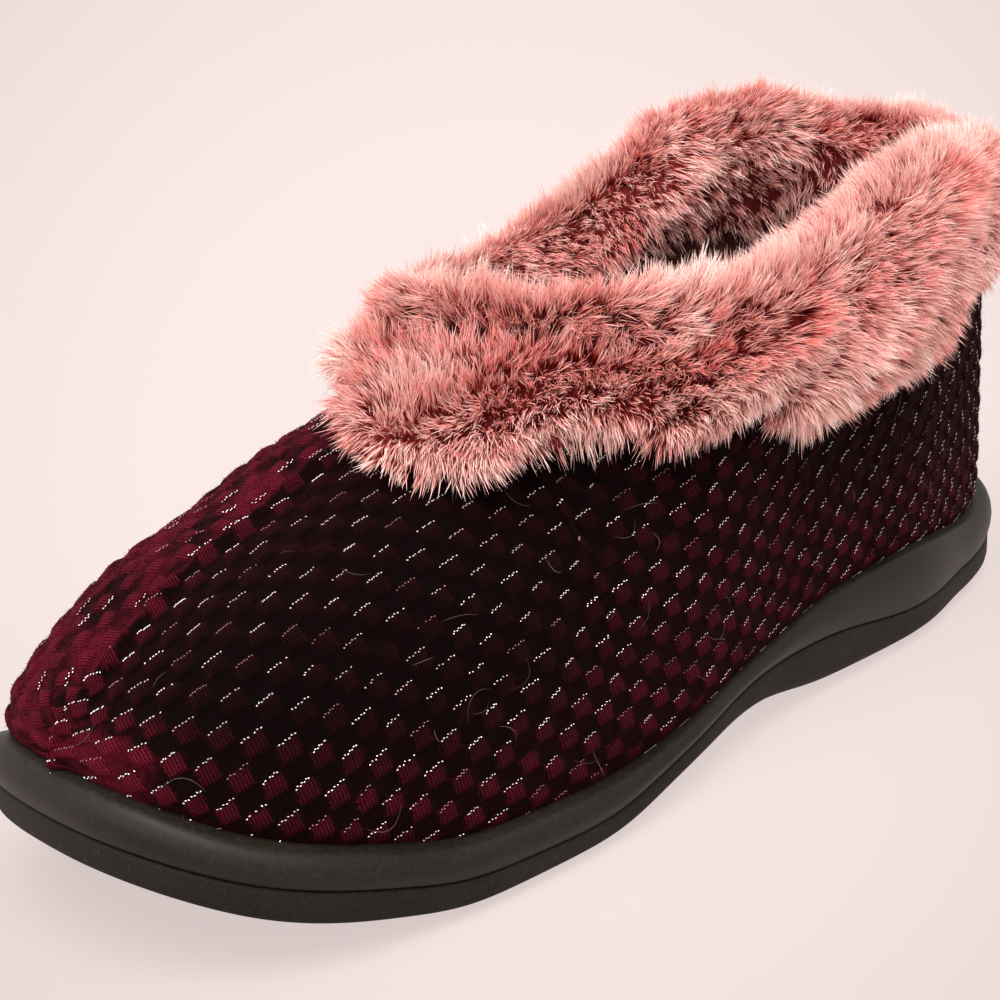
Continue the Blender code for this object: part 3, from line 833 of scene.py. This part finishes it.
# %% The two panels
panels = {}
for side, name in ((OUTER, "upper_panel_outer"), (INNER, "upper_panel_inner")):
    station, lines = panel_lines(side, COLUMNS, ROWS)
    normal = normals_of(lines, np.array([0.0, side, 0.3]))
    cell_along, cell_up, up_run = cloth_lattice(lines, station)
    front = (ridge_height(station) <= collar_height(station))[:, None]
    from_seam = np.where(front, up_run[:, -1:] - up_run, 1.0)
    relief = cloth_relief(cell_along, cell_up, from_seam, up_run, SEAM_FOLD[side])
    surface = lines + normal * relief[..., None]
    uv = np.stack([(cell_along + 12) / MAP_ALONG, (cell_up + 4) / MAP_UP], -1)
    piece = wrapped(name, surface, False, cloth, uv=uv)
    # The painted sheen of each point, kept as an attribute of the panel.
    painted_sheen_grid = painted_sheen_share(station[:, None], up_run, from_seam, side)
    panels[side] = {"lines": lines, "surface": surface, "normal": normal,
                    "along": cell_along, "up": cell_up, "painted_sheen": painted_sheen_grid, "piece": piece}
    layer = piece.data.attributes.new("painted_sheen", "FLOAT", "POINT")
    layer.data.foreach_set("value", painted_sheen_grid.astype(np.float32).ravel())
    print(name, "cells along", round(cell_along.min(), 1), round(cell_along.max(), 1), "up",
          round(cell_up.min(), 1), round(cell_up.max(), 1))
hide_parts("upper")

# %% [markdown]
# Inside, the upper is lined with short fleece. The lining is the same surface as the cloth without its
# relief, a wall's thickness in, and coarser, because it has no pattern to carry. A soft pad covered with
# the same fleece lies on the platform and is rounded over at its edge, so it is a loft like the sole.

# %% Lining
FLEECE_DEPTH = 0.0008
fleece, fleece_shader = principled("lining_fleece", (0.30, 0.13, 0.12), 0.95)
tree = fleece.node_tree
place = place_on_piece(tree)
curls = noise_node(tree, place, 900.0, 3.0)
tree.links.new(mix_color(tree, curls, (0.045, 0.008, 0.005), (0.16, 0.040, 0.028)),
               fleece_shader.inputs["Base Color"])
raise_surface(tree, fleece_shader, noise_node(tree, place, 1400.0, 3.0), FLEECE_DEPTH)
for side, name in ((OUTER, "lining_outer"), (INNER, "lining_inner")):
    step = panels[side]["lines"][::5, ::6]
    facing = panels[side]["normal"][::5, ::6]
    piece = wrapped(name, step - facing * WALL, False, fleece)

# %% Footbed
INSOLE_THICKNESS = 0.0035
FOOTBED_INSET = FEATHER_INSET + WALL + 0.0018
FOOTBED_PROFILE = (
    (0.00000, 0.00), (0.00020, 0.35), (0.00060, 0.70), (0.00110, 0.90),
    (0.00175, 1.00), (0.00600, 1.00), (0.01400, 1.00),
)


def footbed_ring(narrowing, share):
    """Outline of the footbed at a share of its thickness."""
    edge = FOOTBED_INSET + narrowing
    return sole_ring(edge, lambda s: platform_top(foot_x(s, edge)) + GAP + share * INSOLE_THICKNESS)


rings = [footbed_ring(narrowing, share) for narrowing, share in FOOTBED_PROFILE]
rows = [flattened(rings[0])] + rings + [flattened(rings[-1])]
footbed = wrapped("footbed", rows, True, fleece)
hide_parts("insole")

# %% [markdown]
# Each ribbed square carries a metallic thread along its upper edge: a row of tiny bright floats. They
# are small eight-sided beads, set on the cloth's own grain.

# %% Finding a place on the cloth from its grain
FOUND_WITHIN = 0.35


def places_on(panel, along, up):
    """Points and normals of the cloth where the grain says, and whether each lies on the panel."""
    shape = panel["along"].shape
    tree = kdtree.KDTree(panel["along"].size)
    for k, (a, b) in enumerate(zip(panel["along"].ravel(), panel["up"].ravel())):
        tree.insert((a, b, 0), k)
    tree.balance()
    near = np.array([tree.find((a, b, 0))[1:] for a, b in zip(along, up)])
    i, j = np.unravel_index(near[:, 0].astype(int), shape)
    found = near[:, 1] < FOUND_WITHIN
    i = np.clip(i, 1, shape[0] - 2)
    j = np.clip(j, 1, shape[1] - 2)
    step = {}
    for key in ("along", "up", "surface"):
        grid = panel[key]
        step[key] = ((grid[i + 1, j] - grid[i - 1, j]) / 2, (grid[i, j + 1] - grid[i, j - 1]) / 2)
    a1, a2 = step["along"]
    b1, b2 = step["up"]
    da, db = along - panel["along"][i, j], up - panel["up"][i, j]
    det = a1 * b2 - a2 * b1
    det = np.where(np.abs(det) < 1e-9, 1e-9, det)
    s, t = (da * b2 - db * a2) / det, (a1 * db - b1 * da) / det
    s, t = np.clip(s, -1.5, 1.5)[:, None], np.clip(t, -1.5, 1.5)[:, None]
    point = panel["surface"][i, j] + s * step["surface"][0] + t * step["surface"][1]
    return point, panel["normal"][i, j], found


# %% The metallic threads
BEADS = 7
BEAD_SIZE = 0.00015
BEAD_SHAPE = (1.35, 0.8, 0.6)
BEAD_STANDS = 0.00022
DASH_SHARE, DASH_START, DASH_UP = 0.86, 0.07, 0.93
DASH_KEPT = {OUTER: 0.95, INNER: 0.35}
CUT_MOST, CUT_SHARE = 0.22, 0.45
BEAD_KEPT = 0.92
metal, metal_shader = principled("metallic_thread", (0.90, 0.86, 0.85), 0.3)
metal_shader.inputs["Metallic"].default_value = 0.4
tree = metal.node_tree
bead_tone, _ = own_map(tree)
tree.links.new(mix_color(tree, bead_tone, (0.22, 0.02, 0.04), (1.0, 0.97, 0.96)),
               metal_shader.inputs["Base Color"])
octahedron = np.array([(1, 0, 0), (-1, 0, 0), (0, 1, 0), (0, -1, 0), (0, 0, 1), (0, 0, -1)], float)
octahedron_faces = np.array([
    (0, 2, 4), (2, 1, 4), (1, 3, 4), (3, 0, 4), (2, 0, 5), (1, 2, 5), (3, 1, 5), (0, 3, 5)])
for side, name in ((OUTER, "threads_outer"), (INNER, "threads_inner")):
    panel = panels[side]
    rng = np.random.default_rng(21 + side)
    low_a, high_a = math.floor(panel["along"].min()), math.ceil(panel["along"].max())
    low_b, high_b = math.floor(panel["up"].min()), math.ceil(panel["up"].max())
    cells = np.array([(a, b) for a in range(low_a, high_a)
                      for b in range(low_b, high_b) if (a + b) % 2], float)
    cells = cells[rng.random(len(cells)) < DASH_KEPT[side]]
    cut = rng.uniform(0.0, CUT_MOST, (len(cells), 2)) * (rng.random((len(cells), 1)) < CUT_SHARE)
    share = np.linspace(0, 1, BEADS)[None, :]
    along = cells[:, :1] + DASH_START + cut[:, :1] + share * (DASH_SHARE - cut.sum(1, keepdims=True))
    to_toe = (cells[:, :1] - low_a) / (high_a - low_a)
    tilt = 0.12 + 0.42 * np.clip((0.5 - to_toe) / 0.3, 0, 1)
    up_at = cells[:, 1:] + DASH_UP - tilt * (share - 0.5) + 0.05 * (np.arange(BEADS) % 2)
    point, normal, found = places_on(panel, along.ravel(), up_at.ravel())
    tone = np.repeat(rng.choice([0.15, 0.6, 1.0], len(cells), p=[0.22, 0.28, 0.5]), BEADS)
    keep = found & (rng.random(len(point)) < BEAD_KEPT)
    point, normal, tone = point[keep] + normal[keep] * BEAD_STANDS, normal[keep], tone[keep]
    axis = np.tile([1.0, 0, 0], (len(point), 1)) + rng.normal(0, 0.25, (len(point), 3))
    first = np.cross(normal, np.cross(axis, normal))
    first /= np.linalg.norm(first, axis=1, keepdims=True)
    second = np.cross(normal, first)
    long, wide, high = BEAD_SHAPE
    basis = np.stack([first * long, second * wide, normal * high], 1) * BEAD_SIZE
    verts = point[:, None] + octahedron @ basis
    faces = (np.arange(len(point))[:, None, None] * 6 + octahedron_faces).reshape(-1, 3)
    mesh = bpy.data.meshes.new(name)
    mesh.from_pydata(verts.reshape(-1, 3).tolist(), [], faces.tolist())
    layer = mesh.uv_layers.new(name="OFBake")
    layer.data.foreach_set("uv", np.stack([np.repeat(tone, 24), np.full(len(tone) * 24, 0.5)], 1).ravel())
    mesh.materials.append(metal)
    placed(name, mesh)

# %% [markdown]
# The plain squares are real pile: short fibres that stand and lean the way the pile lies. They soften the
# edges of the squares and the outline of the upper, and their tone follows the painted sheen of the cloth.

# %% Where a random point of a panel lies


def scattered(panel, count, rng):
    """Random points over a panel, spread evenly over its area."""
    grid = panel["surface"]
    edge_a, edge_b = np.diff(grid, axis=0)[:, :-1], np.diff(grid, axis=1)[:-1]
    area = np.linalg.norm(np.cross(edge_a, edge_b), axis=-1).ravel()
    pick = rng.choice(area.size, count, p=area / area.sum())
    i, j = np.unravel_index(pick, (grid.shape[0] - 1, grid.shape[1] - 1))
    s, t = rng.random((2, count))

    def read(key):
        g = panel[key]
        w = (s, t) if g.ndim == 2 else (s[:, None], t[:, None])
        low = g[i, j] * (1 - w[0]) + g[i + 1, j] * w[0]
        high = g[i, j + 1] * (1 - w[0]) + g[i + 1, j + 1] * w[0]
        return low * (1 - w[1]) + high * w[1]

    return {key: read(key) for key in ("surface", "normal", "along", "up", "painted_sheen")}


# %% Pile fibres
FIBRES = 30000
FIBRE_WIDE = 0.00014
FIBRE_ROOT = 0.0002
fibre, fibre_shader = principled("pile_fibre", (0.02, 0.002, 0.005), 0.8)
tree = fibre.node_tree
fibre_tone, to_tip = own_map(tree)
tip = mix_color(tree, fibre_tone, (0.004, 0.0003, 0.0005), (0.15, 0.007, 0.018))
tree.links.new(mix_color(tree, to_tip, (0.0012, 0.0001, 0.0002), tip), fibre_shader.inputs["Base Color"])
fibre_shader.inputs["Specular IOR Level"].default_value = 0.03
for side, name in ((OUTER, "pile_outer"), (INNER, "pile_inner")):
    rng = np.random.default_rng(31 + side)
    found = scattered(panels[side], FIBRES, rng)
    ribbed = ribbed_square(found["along"], found["up"])
    lean = found["normal"] + np.array([0.25, 0, -0.35]) + rng.normal(0, 0.45, (FIBRES, 3))
    lean /= np.linalg.norm(lean, axis=1, keepdims=True)
    length = rng.uniform(0.0007, 0.0013, FIBRES) * np.where(ribbed > 0, 0.6, 1.0)
    root = found["surface"] - found["normal"] * FIBRE_ROOT
    spine = np.stack([root, root + lean * length[:, None]], 1)
    side_way = np.cross(lean, rng.normal(0, 1, (FIBRES, 3)))
    side_way /= np.linalg.norm(side_way, axis=1, keepdims=True)
    # A fibre's tone is the cloth's painted sheen where it stands: painted light, paler where the pile is
    # painted as glowing.
    tone = np.clip(found["painted_sheen"] * np.where(ribbed > 0, 0.9, 0.12) + rng.normal(0, 0.06, FIBRES), 0, 1)
    ribbons(name, spine, np.array([FIBRE_WIDE, 0.0]), side_way, tone, fibre)

# %% [markdown]
# Fur and pile shed, so a few loose hairs lie curled on the cloth of the outer side. Each is a ribbon
# along a shallow curve in the plane of the cloth, lifted a little in its middle.

# %% Loose hairs and lint
LINT, LINT_STEPS = 90, 7
LINT_WIDE = 0.00009
LINT_TAPER = np.array([0.4, 0.8, 1, 1, 1, 0.8, 0.0])
LINT_LIFT = 0.0006
rng = np.random.default_rng(37)
found = scattered(panels[OUTER], LINT, rng)
along = np.cross(found["normal"], rng.normal(0, 1, (LINT, 3)))
along /= np.linalg.norm(along, axis=1, keepdims=True)
across = np.cross(found["normal"], along)
span, curl = rng.uniform(0.0012, 0.0040, LINT)[:, None], rng.uniform(-0.9, 0.9, LINT)[:, None]
spine = [found["surface"] + found["normal"] * (LINT_LIFT + LINT_LIFT * math.cos(2 * t)) + along * span * t
         + across * span * curl * (t * t - 0.5) for t in np.linspace(-1, 1, LINT_STEPS)]
tone = rng.choice([0.35, 0.75, 1.0], LINT, p=[0.4, 0.3, 0.3])
lint, lint_shader = principled("lint", (0.1, 0.06, 0.05), 0.8)
tree = lint.node_tree
lint_tone, _ = own_map(tree)
tree.links.new(mix_color(tree, lint_tone, (0.020, 0.003, 0.002), (0.10, 0.07, 0.058)),
               lint_shader.inputs["Base Color"])
side_way = found["normal"] * 0.3 + across
lint_hairs = ribbons("lint_hairs", np.stack(spine, 1), LINT_WIDE * LINT_TAPER, side_way, tone, lint)

# %% [markdown]
# The cuff is one strip of deep artificial fur, folded over the collar. Its backing lies on the wall
# outside and inside, and the hairs stand off it, fan out over the rim and hang down where they can.
# First comes the form of the fur as a whole, from the same table as in the solid, then a dark inner
# body, and then the hairs in tufts that end near that form.

# %% The form of the fur
FUR_DEPTH = 0.0115
FUR_DROP = 0.036
FUR_CREST = 0.0145
FUR_UPRIGHT = 0.80
FUR_INNER_DEPTH = 0.0085
FUR_INNER_DROP = 0.022
FUR = table(
    ("at", "drop_outer", "drop_inner", "depth_outer", "depth_inner", "crest_outer", "crest_inner"),
    (
        (0.00, 0.60, 0.42, 1.05, 1.05, 1.28, 1.28),
        (0.04, 0.78, 0.41, 1.14, 1.05, 1.12, 1.16),
        (0.08, 0.89, 0.40, 1.24, 0.95, 1.00, 0.95),
        (0.12, 0.92, 0.42, 1.28, 0.85, 1.03, 0.90),
        (0.16, 0.95, 0.46, 1.22, 0.80, 1.10, 0.95),
        (0.20, 0.80, 0.54, 1.16, 0.82, 1.19, 0.99),
        (0.24, 0.72, 0.64, 1.10, 0.85, 1.16, 1.01),
        (0.29, 0.75, 0.70, 1.05, 0.94, 1.05, 1.05),
        (0.33, 0.88, 0.76, 1.05, 0.98, 1.01, 1.09),
        (0.38, 0.92, 0.84, 1.03, 1.00, 0.98, 1.12),
        (0.43, 0.79, 0.89, 0.95, 1.00, 0.90, 1.10),
        (0.48, 1.00, 0.94, 1.00, 1.00, 0.77, 1.06),
        (0.56, 1.19, 1.04, 1.00, 1.00, 0.64, 1.06),
        (0.64, 1.28, 1.16, 0.96, 1.00, 0.58, 0.97),
        (0.70, 1.18, 1.14, 0.88, 1.00, 0.54, 0.94),
        (0.78, 0.92, 1.00, 0.70, 0.95, 0.50, 0.94),
        (0.88, 0.72, 0.80, 0.66, 0.88, 0.54, 0.84),
        (1.00, 0.70, 0.70, 0.78, 0.78, 0.76, 0.76),
    ),
)
# The section from the bottom inside, over the crest, to the bottom outside. part 0 is inside, 1 the
# crest and 2 outside; down and out are shares of that part's sizes; skin is where the hair is rooted,
# from -1 at the bottom inside through 0 at the rim to 1 at the bottom outside.
SECTION = table(
    ("part", "down", "out", "skin"),
    (
        (0, 1.04, 0.42, -0.86),
        (0, 0.76, 0.84, -0.56),
        (0, 0.32, 1.10, -0.22),
        (0, -0.18, 1.15, -0.05),
        (1, -0.84, -0.52, -0.02),
        (1, -1.00, -0.06, 0.00),
        (1, -0.88, 0.42, 0.01),
        (1, -0.52, 0.82, 0.03),
        (2, 0.06, 1.06, 0.06),
        (2, 0.36, 1.10, 0.20),
        (2, 0.66, 1.05, 0.42),
        (2, 0.94, 0.86, 0.62),
        (2, 1.08, 0.42, 0.78),
    ),
)
RIM_STEPS = 360
WALL_STEPS, WALL_STEP = 64, 0.001
LEVELS, LEVEL_STEP = 23, 0.035

# %% The wall under the fur


def front_station(level):
    """Where the ridge comes down to a level of the collar, found by halving."""
    low, high = 0.0, 1.0
    for _ in range(48):
        middle = (low + high) / 2
        low, high = (middle, high) if ridge_height(middle) > level * collar_height(middle) else (low, middle)
    return low


def level_line(level, side, count):
    """A line round the upper at a share of the collar's height, from the seam to the heel's back."""
    station = front_station(level) * (1 + np.cos(np.linspace(0, np.pi, 900))) / 2
    return evenly(on_last(station, level * collar_height(station), side), count)


def wall_under(side):
    """Points and normals of the wall, round the rim and down from it, and the way up from the rim."""
    levels = 1.0 - LEVEL_STEP * np.arange(LEVELS)
    lines = np.array([level_line(level, side, RIM_STEPS) for level in levels])
    normal = normals_of(lines, np.array([0.0, side, 0.1]))
    run = run_along(lines.transpose(1, 0, 2))
    marks = np.arange(WALL_STEPS) * WALL_STEP
    wall = np.zeros((RIM_STEPS, WALL_STEPS, 3))
    facing = np.zeros((RIM_STEPS, WALL_STEPS, 3))
    for i in range(RIM_STEPS):
        for k in range(3):
            wall[i, :, k] = np.interp(marks, run[i], lines[:, i, k])
            facing[i, :, k] = np.interp(marks, run[i], normal[:, i, k])
    facing /= np.linalg.norm(facing, axis=-1, keepdims=True)
    rise = lines[0] - lines[1]
    rise /= np.linalg.norm(rise, axis=-1, keepdims=True)
    rise = rise * (1 - FUR_UPRIGHT) + np.array([0, 0, FUR_UPRIGHT])
    return wall, facing, rise / np.linalg.norm(rise, axis=-1, keepdims=True)


def all_round(outer, inner):
    """Both sides as one closed round: the outer side from the seam to the heel, then the inner back."""
    return np.concatenate([outer, inner[::-1]])


walls = {side: wall_under(side) for side in (OUTER, INNER)}
wall, facing, rise = (all_round(a, b) for a, b in zip(walls[OUTER], walls[INNER]))
share_round = np.concatenate([np.linspace(0, 1, RIM_STEPS), np.linspace(1, 0, RIM_STEPS)])
is_outer = np.arange(2 * RIM_STEPS) < RIM_STEPS


def fur_size(name):
    """One of the fur's sizes all round the rim."""
    outer, inner = (value(FUR, name + side, share_round) for side in ("_outer", "_inner"))
    return np.where(is_outer, outer, inner)


drop = fur_size("drop") * FUR_DROP
depth = fur_size("depth") * FUR_DEPTH
crest = fur_size("crest") * FUR_CREST
rim_run = run_along(wall[:, 0])
print("rim", round(rim_run[-1] * 1000), "mm round")

# %% Reading the form


def blend_rows(grid, place):
    """Values between the rows of a grid at fractional places round the rim."""
    low = np.floor(place).astype(int) % len(grid)
    share = place - np.floor(place)
    share = share.reshape(share.shape + (1,) * (grid.ndim - 1))
    return grid[low] * (1 - share) + grid[(low + 1) % len(grid)] * share


def off_wall(place, down, out):
    """Points at a distance down the wall (up if negative) and out from it."""
    at = np.clip(down, 0, (WALL_STEPS - 2) * WALL_STEP) / WALL_STEP
    k = np.floor(at).astype(int)
    t = (at - k)[:, None]
    low = np.floor(place).astype(int) % len(wall)
    high = (low + 1) % len(wall)
    s = (place - np.floor(place))[:, None]

    def read(grid):
        first = grid[low, k] * (1 - t) + grid[low, k + 1] * t
        second = grid[high, k] * (1 - t) + grid[high, k + 1] * t
        return first * (1 - s) + second * s

    normal = read(facing)
    normal /= np.linalg.norm(normal, axis=1, keepdims=True)
    upward = rise[low] * (1 - s) + rise[high] * s
    return read(wall) + upward * np.maximum(-down, 0)[:, None] + normal * out[:, None]


def smooth_between(values, at):
    """A rounded curve through each row of values, read at places along it."""
    last = values.shape[1] - 1
    i = np.clip(np.floor(at).astype(int), 0, last - 1)
    t = at - i
    before, first, second, after = (
        np.take_along_axis(values, np.clip(i + k, 0, last)[:, None], 1)[:, 0] for k in (-1, 0, 1, 2))
    bend = t * (second - before) + t * t * (2 * before - 5 * first + 4 * second - after)
    return first + 0.5 * (bend + t ** 3 * (3 * first - before - 3 * second + after))


section_steps = np.arange(len(SECTION["part"]), dtype=float)
on_part = [SECTION["part"] == part for part in (0, 1, 2)]
RIM_SKIN = 0.06
ROOT_STANDS = 0.0007


def fur_form(place, at):
    """Where hair ends and where it is rooted, at places round the rim and round the section."""
    d, e, c = (blend_rows(g, place)[:, None] for g in (drop, depth, crest))
    down = SECTION["down"] * (on_part[0] * FUR_INNER_DROP + on_part[1] * c + on_part[2] * d)
    out = np.where(on_part[0], -WALL - SECTION["out"] * FUR_INNER_DEPTH, SECTION["out"] * e)
    tip = off_wall(place, smooth_between(down, at), smooth_between(out, at))
    skin = np.interp(at, section_steps, SECTION["skin"])
    root_down = np.where(skin < 0, -skin * FUR_INNER_DROP, skin * d[:, 0])
    root_out = -WALL * 0.5 + np.clip(skin / RIM_SKIN, -1, 1) * (WALL * 0.5 + ROOT_STANDS)
    return tip, off_wall(place, root_down, root_out)


# %% [markdown]
# A hair is dark red at its root and pale pink at its tip, partly its own dye and partly painted shade, as
# the near-black roots stand for the shade deep between hairs. Two ramps run along the hair, one for deep and
# one for pale hairs, and each hair's own tone mixes them. The inner body of the fur is dark and deep red,
# painted shade like the shade between real hairs.
# It is a closed form that lies a little past halfway from the backing to the tips, and hides that the hairs
# are far fewer than on real fur.

# %% The finish of the hairs


def ramp(tree, given, stops):
    """Colours along a value."""
    node = tree.nodes.new("ShaderNodeValToRGB")
    tree.links.new(given, node.inputs["Fac"])
    elements = node.color_ramp.elements
    while len(elements) < len(stops):
        elements.new(0.5)
    for element, (position, color) in zip(elements, stops):
        element.position = position
        element.color = (*color, 1)
    return node.outputs["Color"]


# The near-black root colours are partly painted shade, for the shade deep between hairs, on top of the fur's
# own red roots.
DEEP_HAIR = (
    (0.00, (0.10, 0.001, 0.001)),
    (0.35, (0.28, 0.008, 0.008)),
    (0.60, (0.90, 0.20, 0.175)),
    (1.00, (1.0, 0.50, 0.44)),
)
PALE_HAIR = (
    (0.00, (0.14, 0.002, 0.002)),
    (0.24, (0.60, 0.09, 0.08)),
    (0.44, (1.0, 0.64, 0.57)),
    (1.00, (1.0, 0.86, 0.80)),
)
hair, hair_shader = principled("fur_hair", (0.8, 0.4, 0.36), 0.6)
tree = hair.node_tree
hair_tone, to_tip = own_map(tree)
deep, pale = ramp(tree, to_tip, DEEP_HAIR), ramp(tree, to_tip, PALE_HAIR)
tree.links.new(mix_color(tree, hair_tone, deep, pale), hair_shader.inputs["Base Color"])
hair_shader.inputs["Specular IOR Level"].default_value = 0.08
print("hair finish of", len(tree.nodes), "nodes")

# %% The inner body
BODY_SHARE, BODY_LUMPS = 0.58, 0.12
BODY_ROUND, BODY_ACROSS = 360, 44
SHADE_BODY_BUMP = 0.001
# The inner body is painted shade: a dark deep-red form where, between the hairs, there is shade.
under, under_shader = principled("fur_body_shade", (0.16, 0.02, 0.02), 0.95)
tree = under.node_tree
place = place_on_piece(tree)
strands = noise_node(tree, place, 700.0, 4.0, 0.7)
tree.links.new(mix_color(tree, strands, (0.06, 0.001, 0.001), (0.26, 0.008, 0.007)),
               under_shader.inputs["Base Color"])
raise_surface(tree, under_shader, noise_node(tree, place, 900.0, 4.0), SHADE_BODY_BUMP)
body_round = np.linspace(0, 2 * RIM_STEPS - 1, BODY_ROUND)
body_rows = []
for at in np.linspace(0, section_steps[-1], BODY_ACROSS):
    tip, root = fur_form(body_round, np.full(BODY_ROUND, at))
    lump = 1 + BODY_LUMPS * soft_noise(np.arange(BODY_ROUND) * 0.5, np.full(BODY_ROUND, at * 2.0), 41)
    body_rows.append(root + (tip - root) * (BODY_SHARE * lump)[:, None])
closing = [fur_form(body_round, np.full(BODY_ROUND, at))[1] for at in (section_steps[-1], 0.0)]
fur_body = wrapped("fur_body", body_rows + closing + body_rows[:1], True, under)
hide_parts("fur_cuff")

# %% [markdown]
# The hairs come in tufts. Each tuft has its own lean, length and tone, and its hairs draw together at
# their tips. Slow changes in lean and tone over the cuff give the whorls and the red partings, and the hairs
# on the cuff's inside are made deeper: painted shade.

# %% Which way the fur's form faces
STEP_ROUND, STEP_ACROSS = 1.2, 0.06


def form_frame(place, at):
    """Place on the form, its outward normal, the way down its section and how much area it spans."""
    along = fur_form(place + STEP_ROUND, at)[0] - fur_form(place - STEP_ROUND, at)[0]
    low, high = np.maximum(at - STEP_ACROSS, 0), np.minimum(at + STEP_ACROSS, section_steps[-1])
    down = fur_form(place, high)[0] - fur_form(place, low)[0]
    normal = np.cross(down, along)
    area = np.linalg.norm(normal, axis=1)
    down /= np.maximum(np.linalg.norm(down, axis=1, keepdims=True), 1e-9)
    return fur_form(place, at)[0], normal / np.maximum(area[:, None], 1e-12), down, area


# %% Tufts
TUFTS, TRIALS = 26000, 90000
DENSITY_AT, DENSITY = (0, 2, 3.5, 6, 11, 12), (0.30, 0.45, 0.9, 1.25, 1.25, 0.7)
rng = np.random.default_rng(51)


def spread_over_form(count, trials):
    """Places spread over the fur's form by its area, and denser outside than inside."""
    place = rng.uniform(0, 2 * RIM_STEPS - 1, trials)
    at = rng.uniform(0, section_steps[-1], trials)
    area = form_frame(place, at)[3] * np.interp(at, DENSITY_AT, DENSITY)
    pick = rng.choice(trials, count, replace=False, p=area / area.sum())
    return place[pick], at[pick]


tuft_place, tuft_at = spread_over_form(TUFTS, TRIALS)
tuft_point, tuft_normal, tuft_down, _ = form_frame(tuft_place, tuft_at)
rim_mm = np.interp(tuft_place, np.arange(2 * RIM_STEPS), rim_run) * 1000
print(TUFTS, "tufts on", round(rim_mm.max()), "mm of rim")

# %% How each tuft leans
# Above the parting fur is swept up and over the rim, below it the fringe hangs down.
PARTING = 8.2
LEAN_AT, LEAN = (0, 3, 5, 7, PARTING, 10, 12), (-0.6, -0.5, -0.45, -0.35, 0.0, 0.35, 0.50)
WHORL, RUFFLE, OWN_LEAN = 0.50, 0.24, 0.18
TUFT_LENGTH = 0.0080


def over_cuff(round_mm, across, seed):
    """Slow noise over the cuff, in patches so many mm round and so many steps of the section across."""
    return soft_noise(rim_mm / round_mm, tuft_at / across, seed)


lean_down = np.interp(tuft_at, LEAN_AT, LEAN)
whorl = np.stack([over_cuff(13.0, 1.7, seed) for seed in (61, 62, 63)], 1) * WHORL
ruffle = np.stack([over_cuff(3.5, 0.5, seed) for seed in (71, 72, 73)], 1) * RUFFLE
tuft_lean = tuft_down * lean_down[:, None] + whorl + ruffle + rng.normal(0, OWN_LEAN, (TUFTS, 3))
uneven = 0.10 * soft_noise(rim_mm / 9.0, tuft_at * 1.3, 64)
tuft_length = TUFT_LENGTH * (1 + uneven + rng.normal(0, 0.06, TUFTS))
patch = 0.66 + 0.34 * over_cuff(11.0, 1.5, 65) + 0.24 * over_cuff(3.5, 0.5, 66)
# Hairs along the parting are made deeper, where the red roots show, and so are the hairs on the cuff's
# inside, as painted shade.
parting_red_and_inner_shade = 0.30 * np.exp(-((tuft_at - PARTING) / 0.9) ** 2) + 0.22 * np.clip((5 - tuft_at) / 2, 0, 1)
tuft_tone = patch - parting_red_and_inner_shade + rng.normal(0, 0.10, TUFTS)
print("tufts", round(tuft_length.min() * 1000, 1), "to", round(tuft_length.max() * 1000, 1), "mm long")

# %% Hairs
HAIRS, HAIR_PIECES = 185000, 4
TUFT_RADIUS = 0.00055
DRAWN_FROM, BEND_AT = 0.36, 0.72
HAIR_WIDTH = np.array([0.00018, 0.00019, 0.0])
HOLLOW_AT, HOLLOW_WIDE, HOLLOW_END = 7.2, 1.1, 0.50
FRINGE_AT, BEHIND_AT = 10.2, 0.84


def bezier(start, pull, end, t):
    """A place on the curve from start to end that is drawn towards pull."""
    return start * (1 - t) ** 2 + pull * 2 * t * (1 - t) + end * t * t


pick = rng.integers(0, TUFTS, HAIRS)
offset = rng.normal(0, TUFT_RADIUS, (HAIRS, 3))
normal, length = tuft_normal[pick], tuft_length[pick][:, None]
offset -= normal * (offset * normal).sum(1, keepdims=True)
point = tuft_point[pick] + offset
to_heel = tuft_place[pick] / RIM_STEPS
fringe = np.clip((tuft_at[pick] - FRINGE_AT) / 1.2, 0, 1)
behind = np.exp(-((to_heel - BEHIND_AT) / 0.13) ** 2)
hollow = np.exp(-((tuft_at[pick] - HOLLOW_AT) / HOLLOW_WIDE) ** 2)
hollow = hollow * np.clip((HOLLOW_END - to_heel) / 0.2, 0, 1)
reach = (rng.uniform(0.80, 1.05, HAIRS) - 0.12 * fringe - 0.16 * behind + 0.42 * hollow)[:, None]
root = point - normal * length
pull = point - normal * length * 0.45 + tuft_lean[pick] * length * 0.10
gather = rng.uniform(0.20, 0.80, HAIRS)[:, None] * (1 - 0.7 * fringe[:, None])
end = point - offset * gather + tuft_lean[pick] * length * 0.62 + rng.normal(0, 0.0005, (HAIRS, 3))
end = root + (end - root) * reach
spine = np.stack([bezier(root, pull, end, t) for t in (DRAWN_FROM, BEND_AT, 1.0)], 1)
direction = spine[:, -1] - spine[:, 0]
direction /= np.linalg.norm(direction, axis=1, keepdims=True)
side_way = np.cross(direction, rng.normal(0, 1.0, (HAIRS, 3)))
side_way /= np.linalg.norm(side_way, axis=1, keepdims=True)
tone = np.clip(tuft_tone[pick] + rng.normal(0, 0.16, HAIRS), 0.02, 0.98)
for part in range(HAIR_PIECES):
    chosen = slice(part * HAIRS // HAIR_PIECES, (part + 1) * HAIRS // HAIR_PIECES)
    name = f"fur_hairs_{part + 1}"
    piece = ribbons(name, spine[chosen], HAIR_WIDTH, side_way[chosen], tone[chosen], hair)
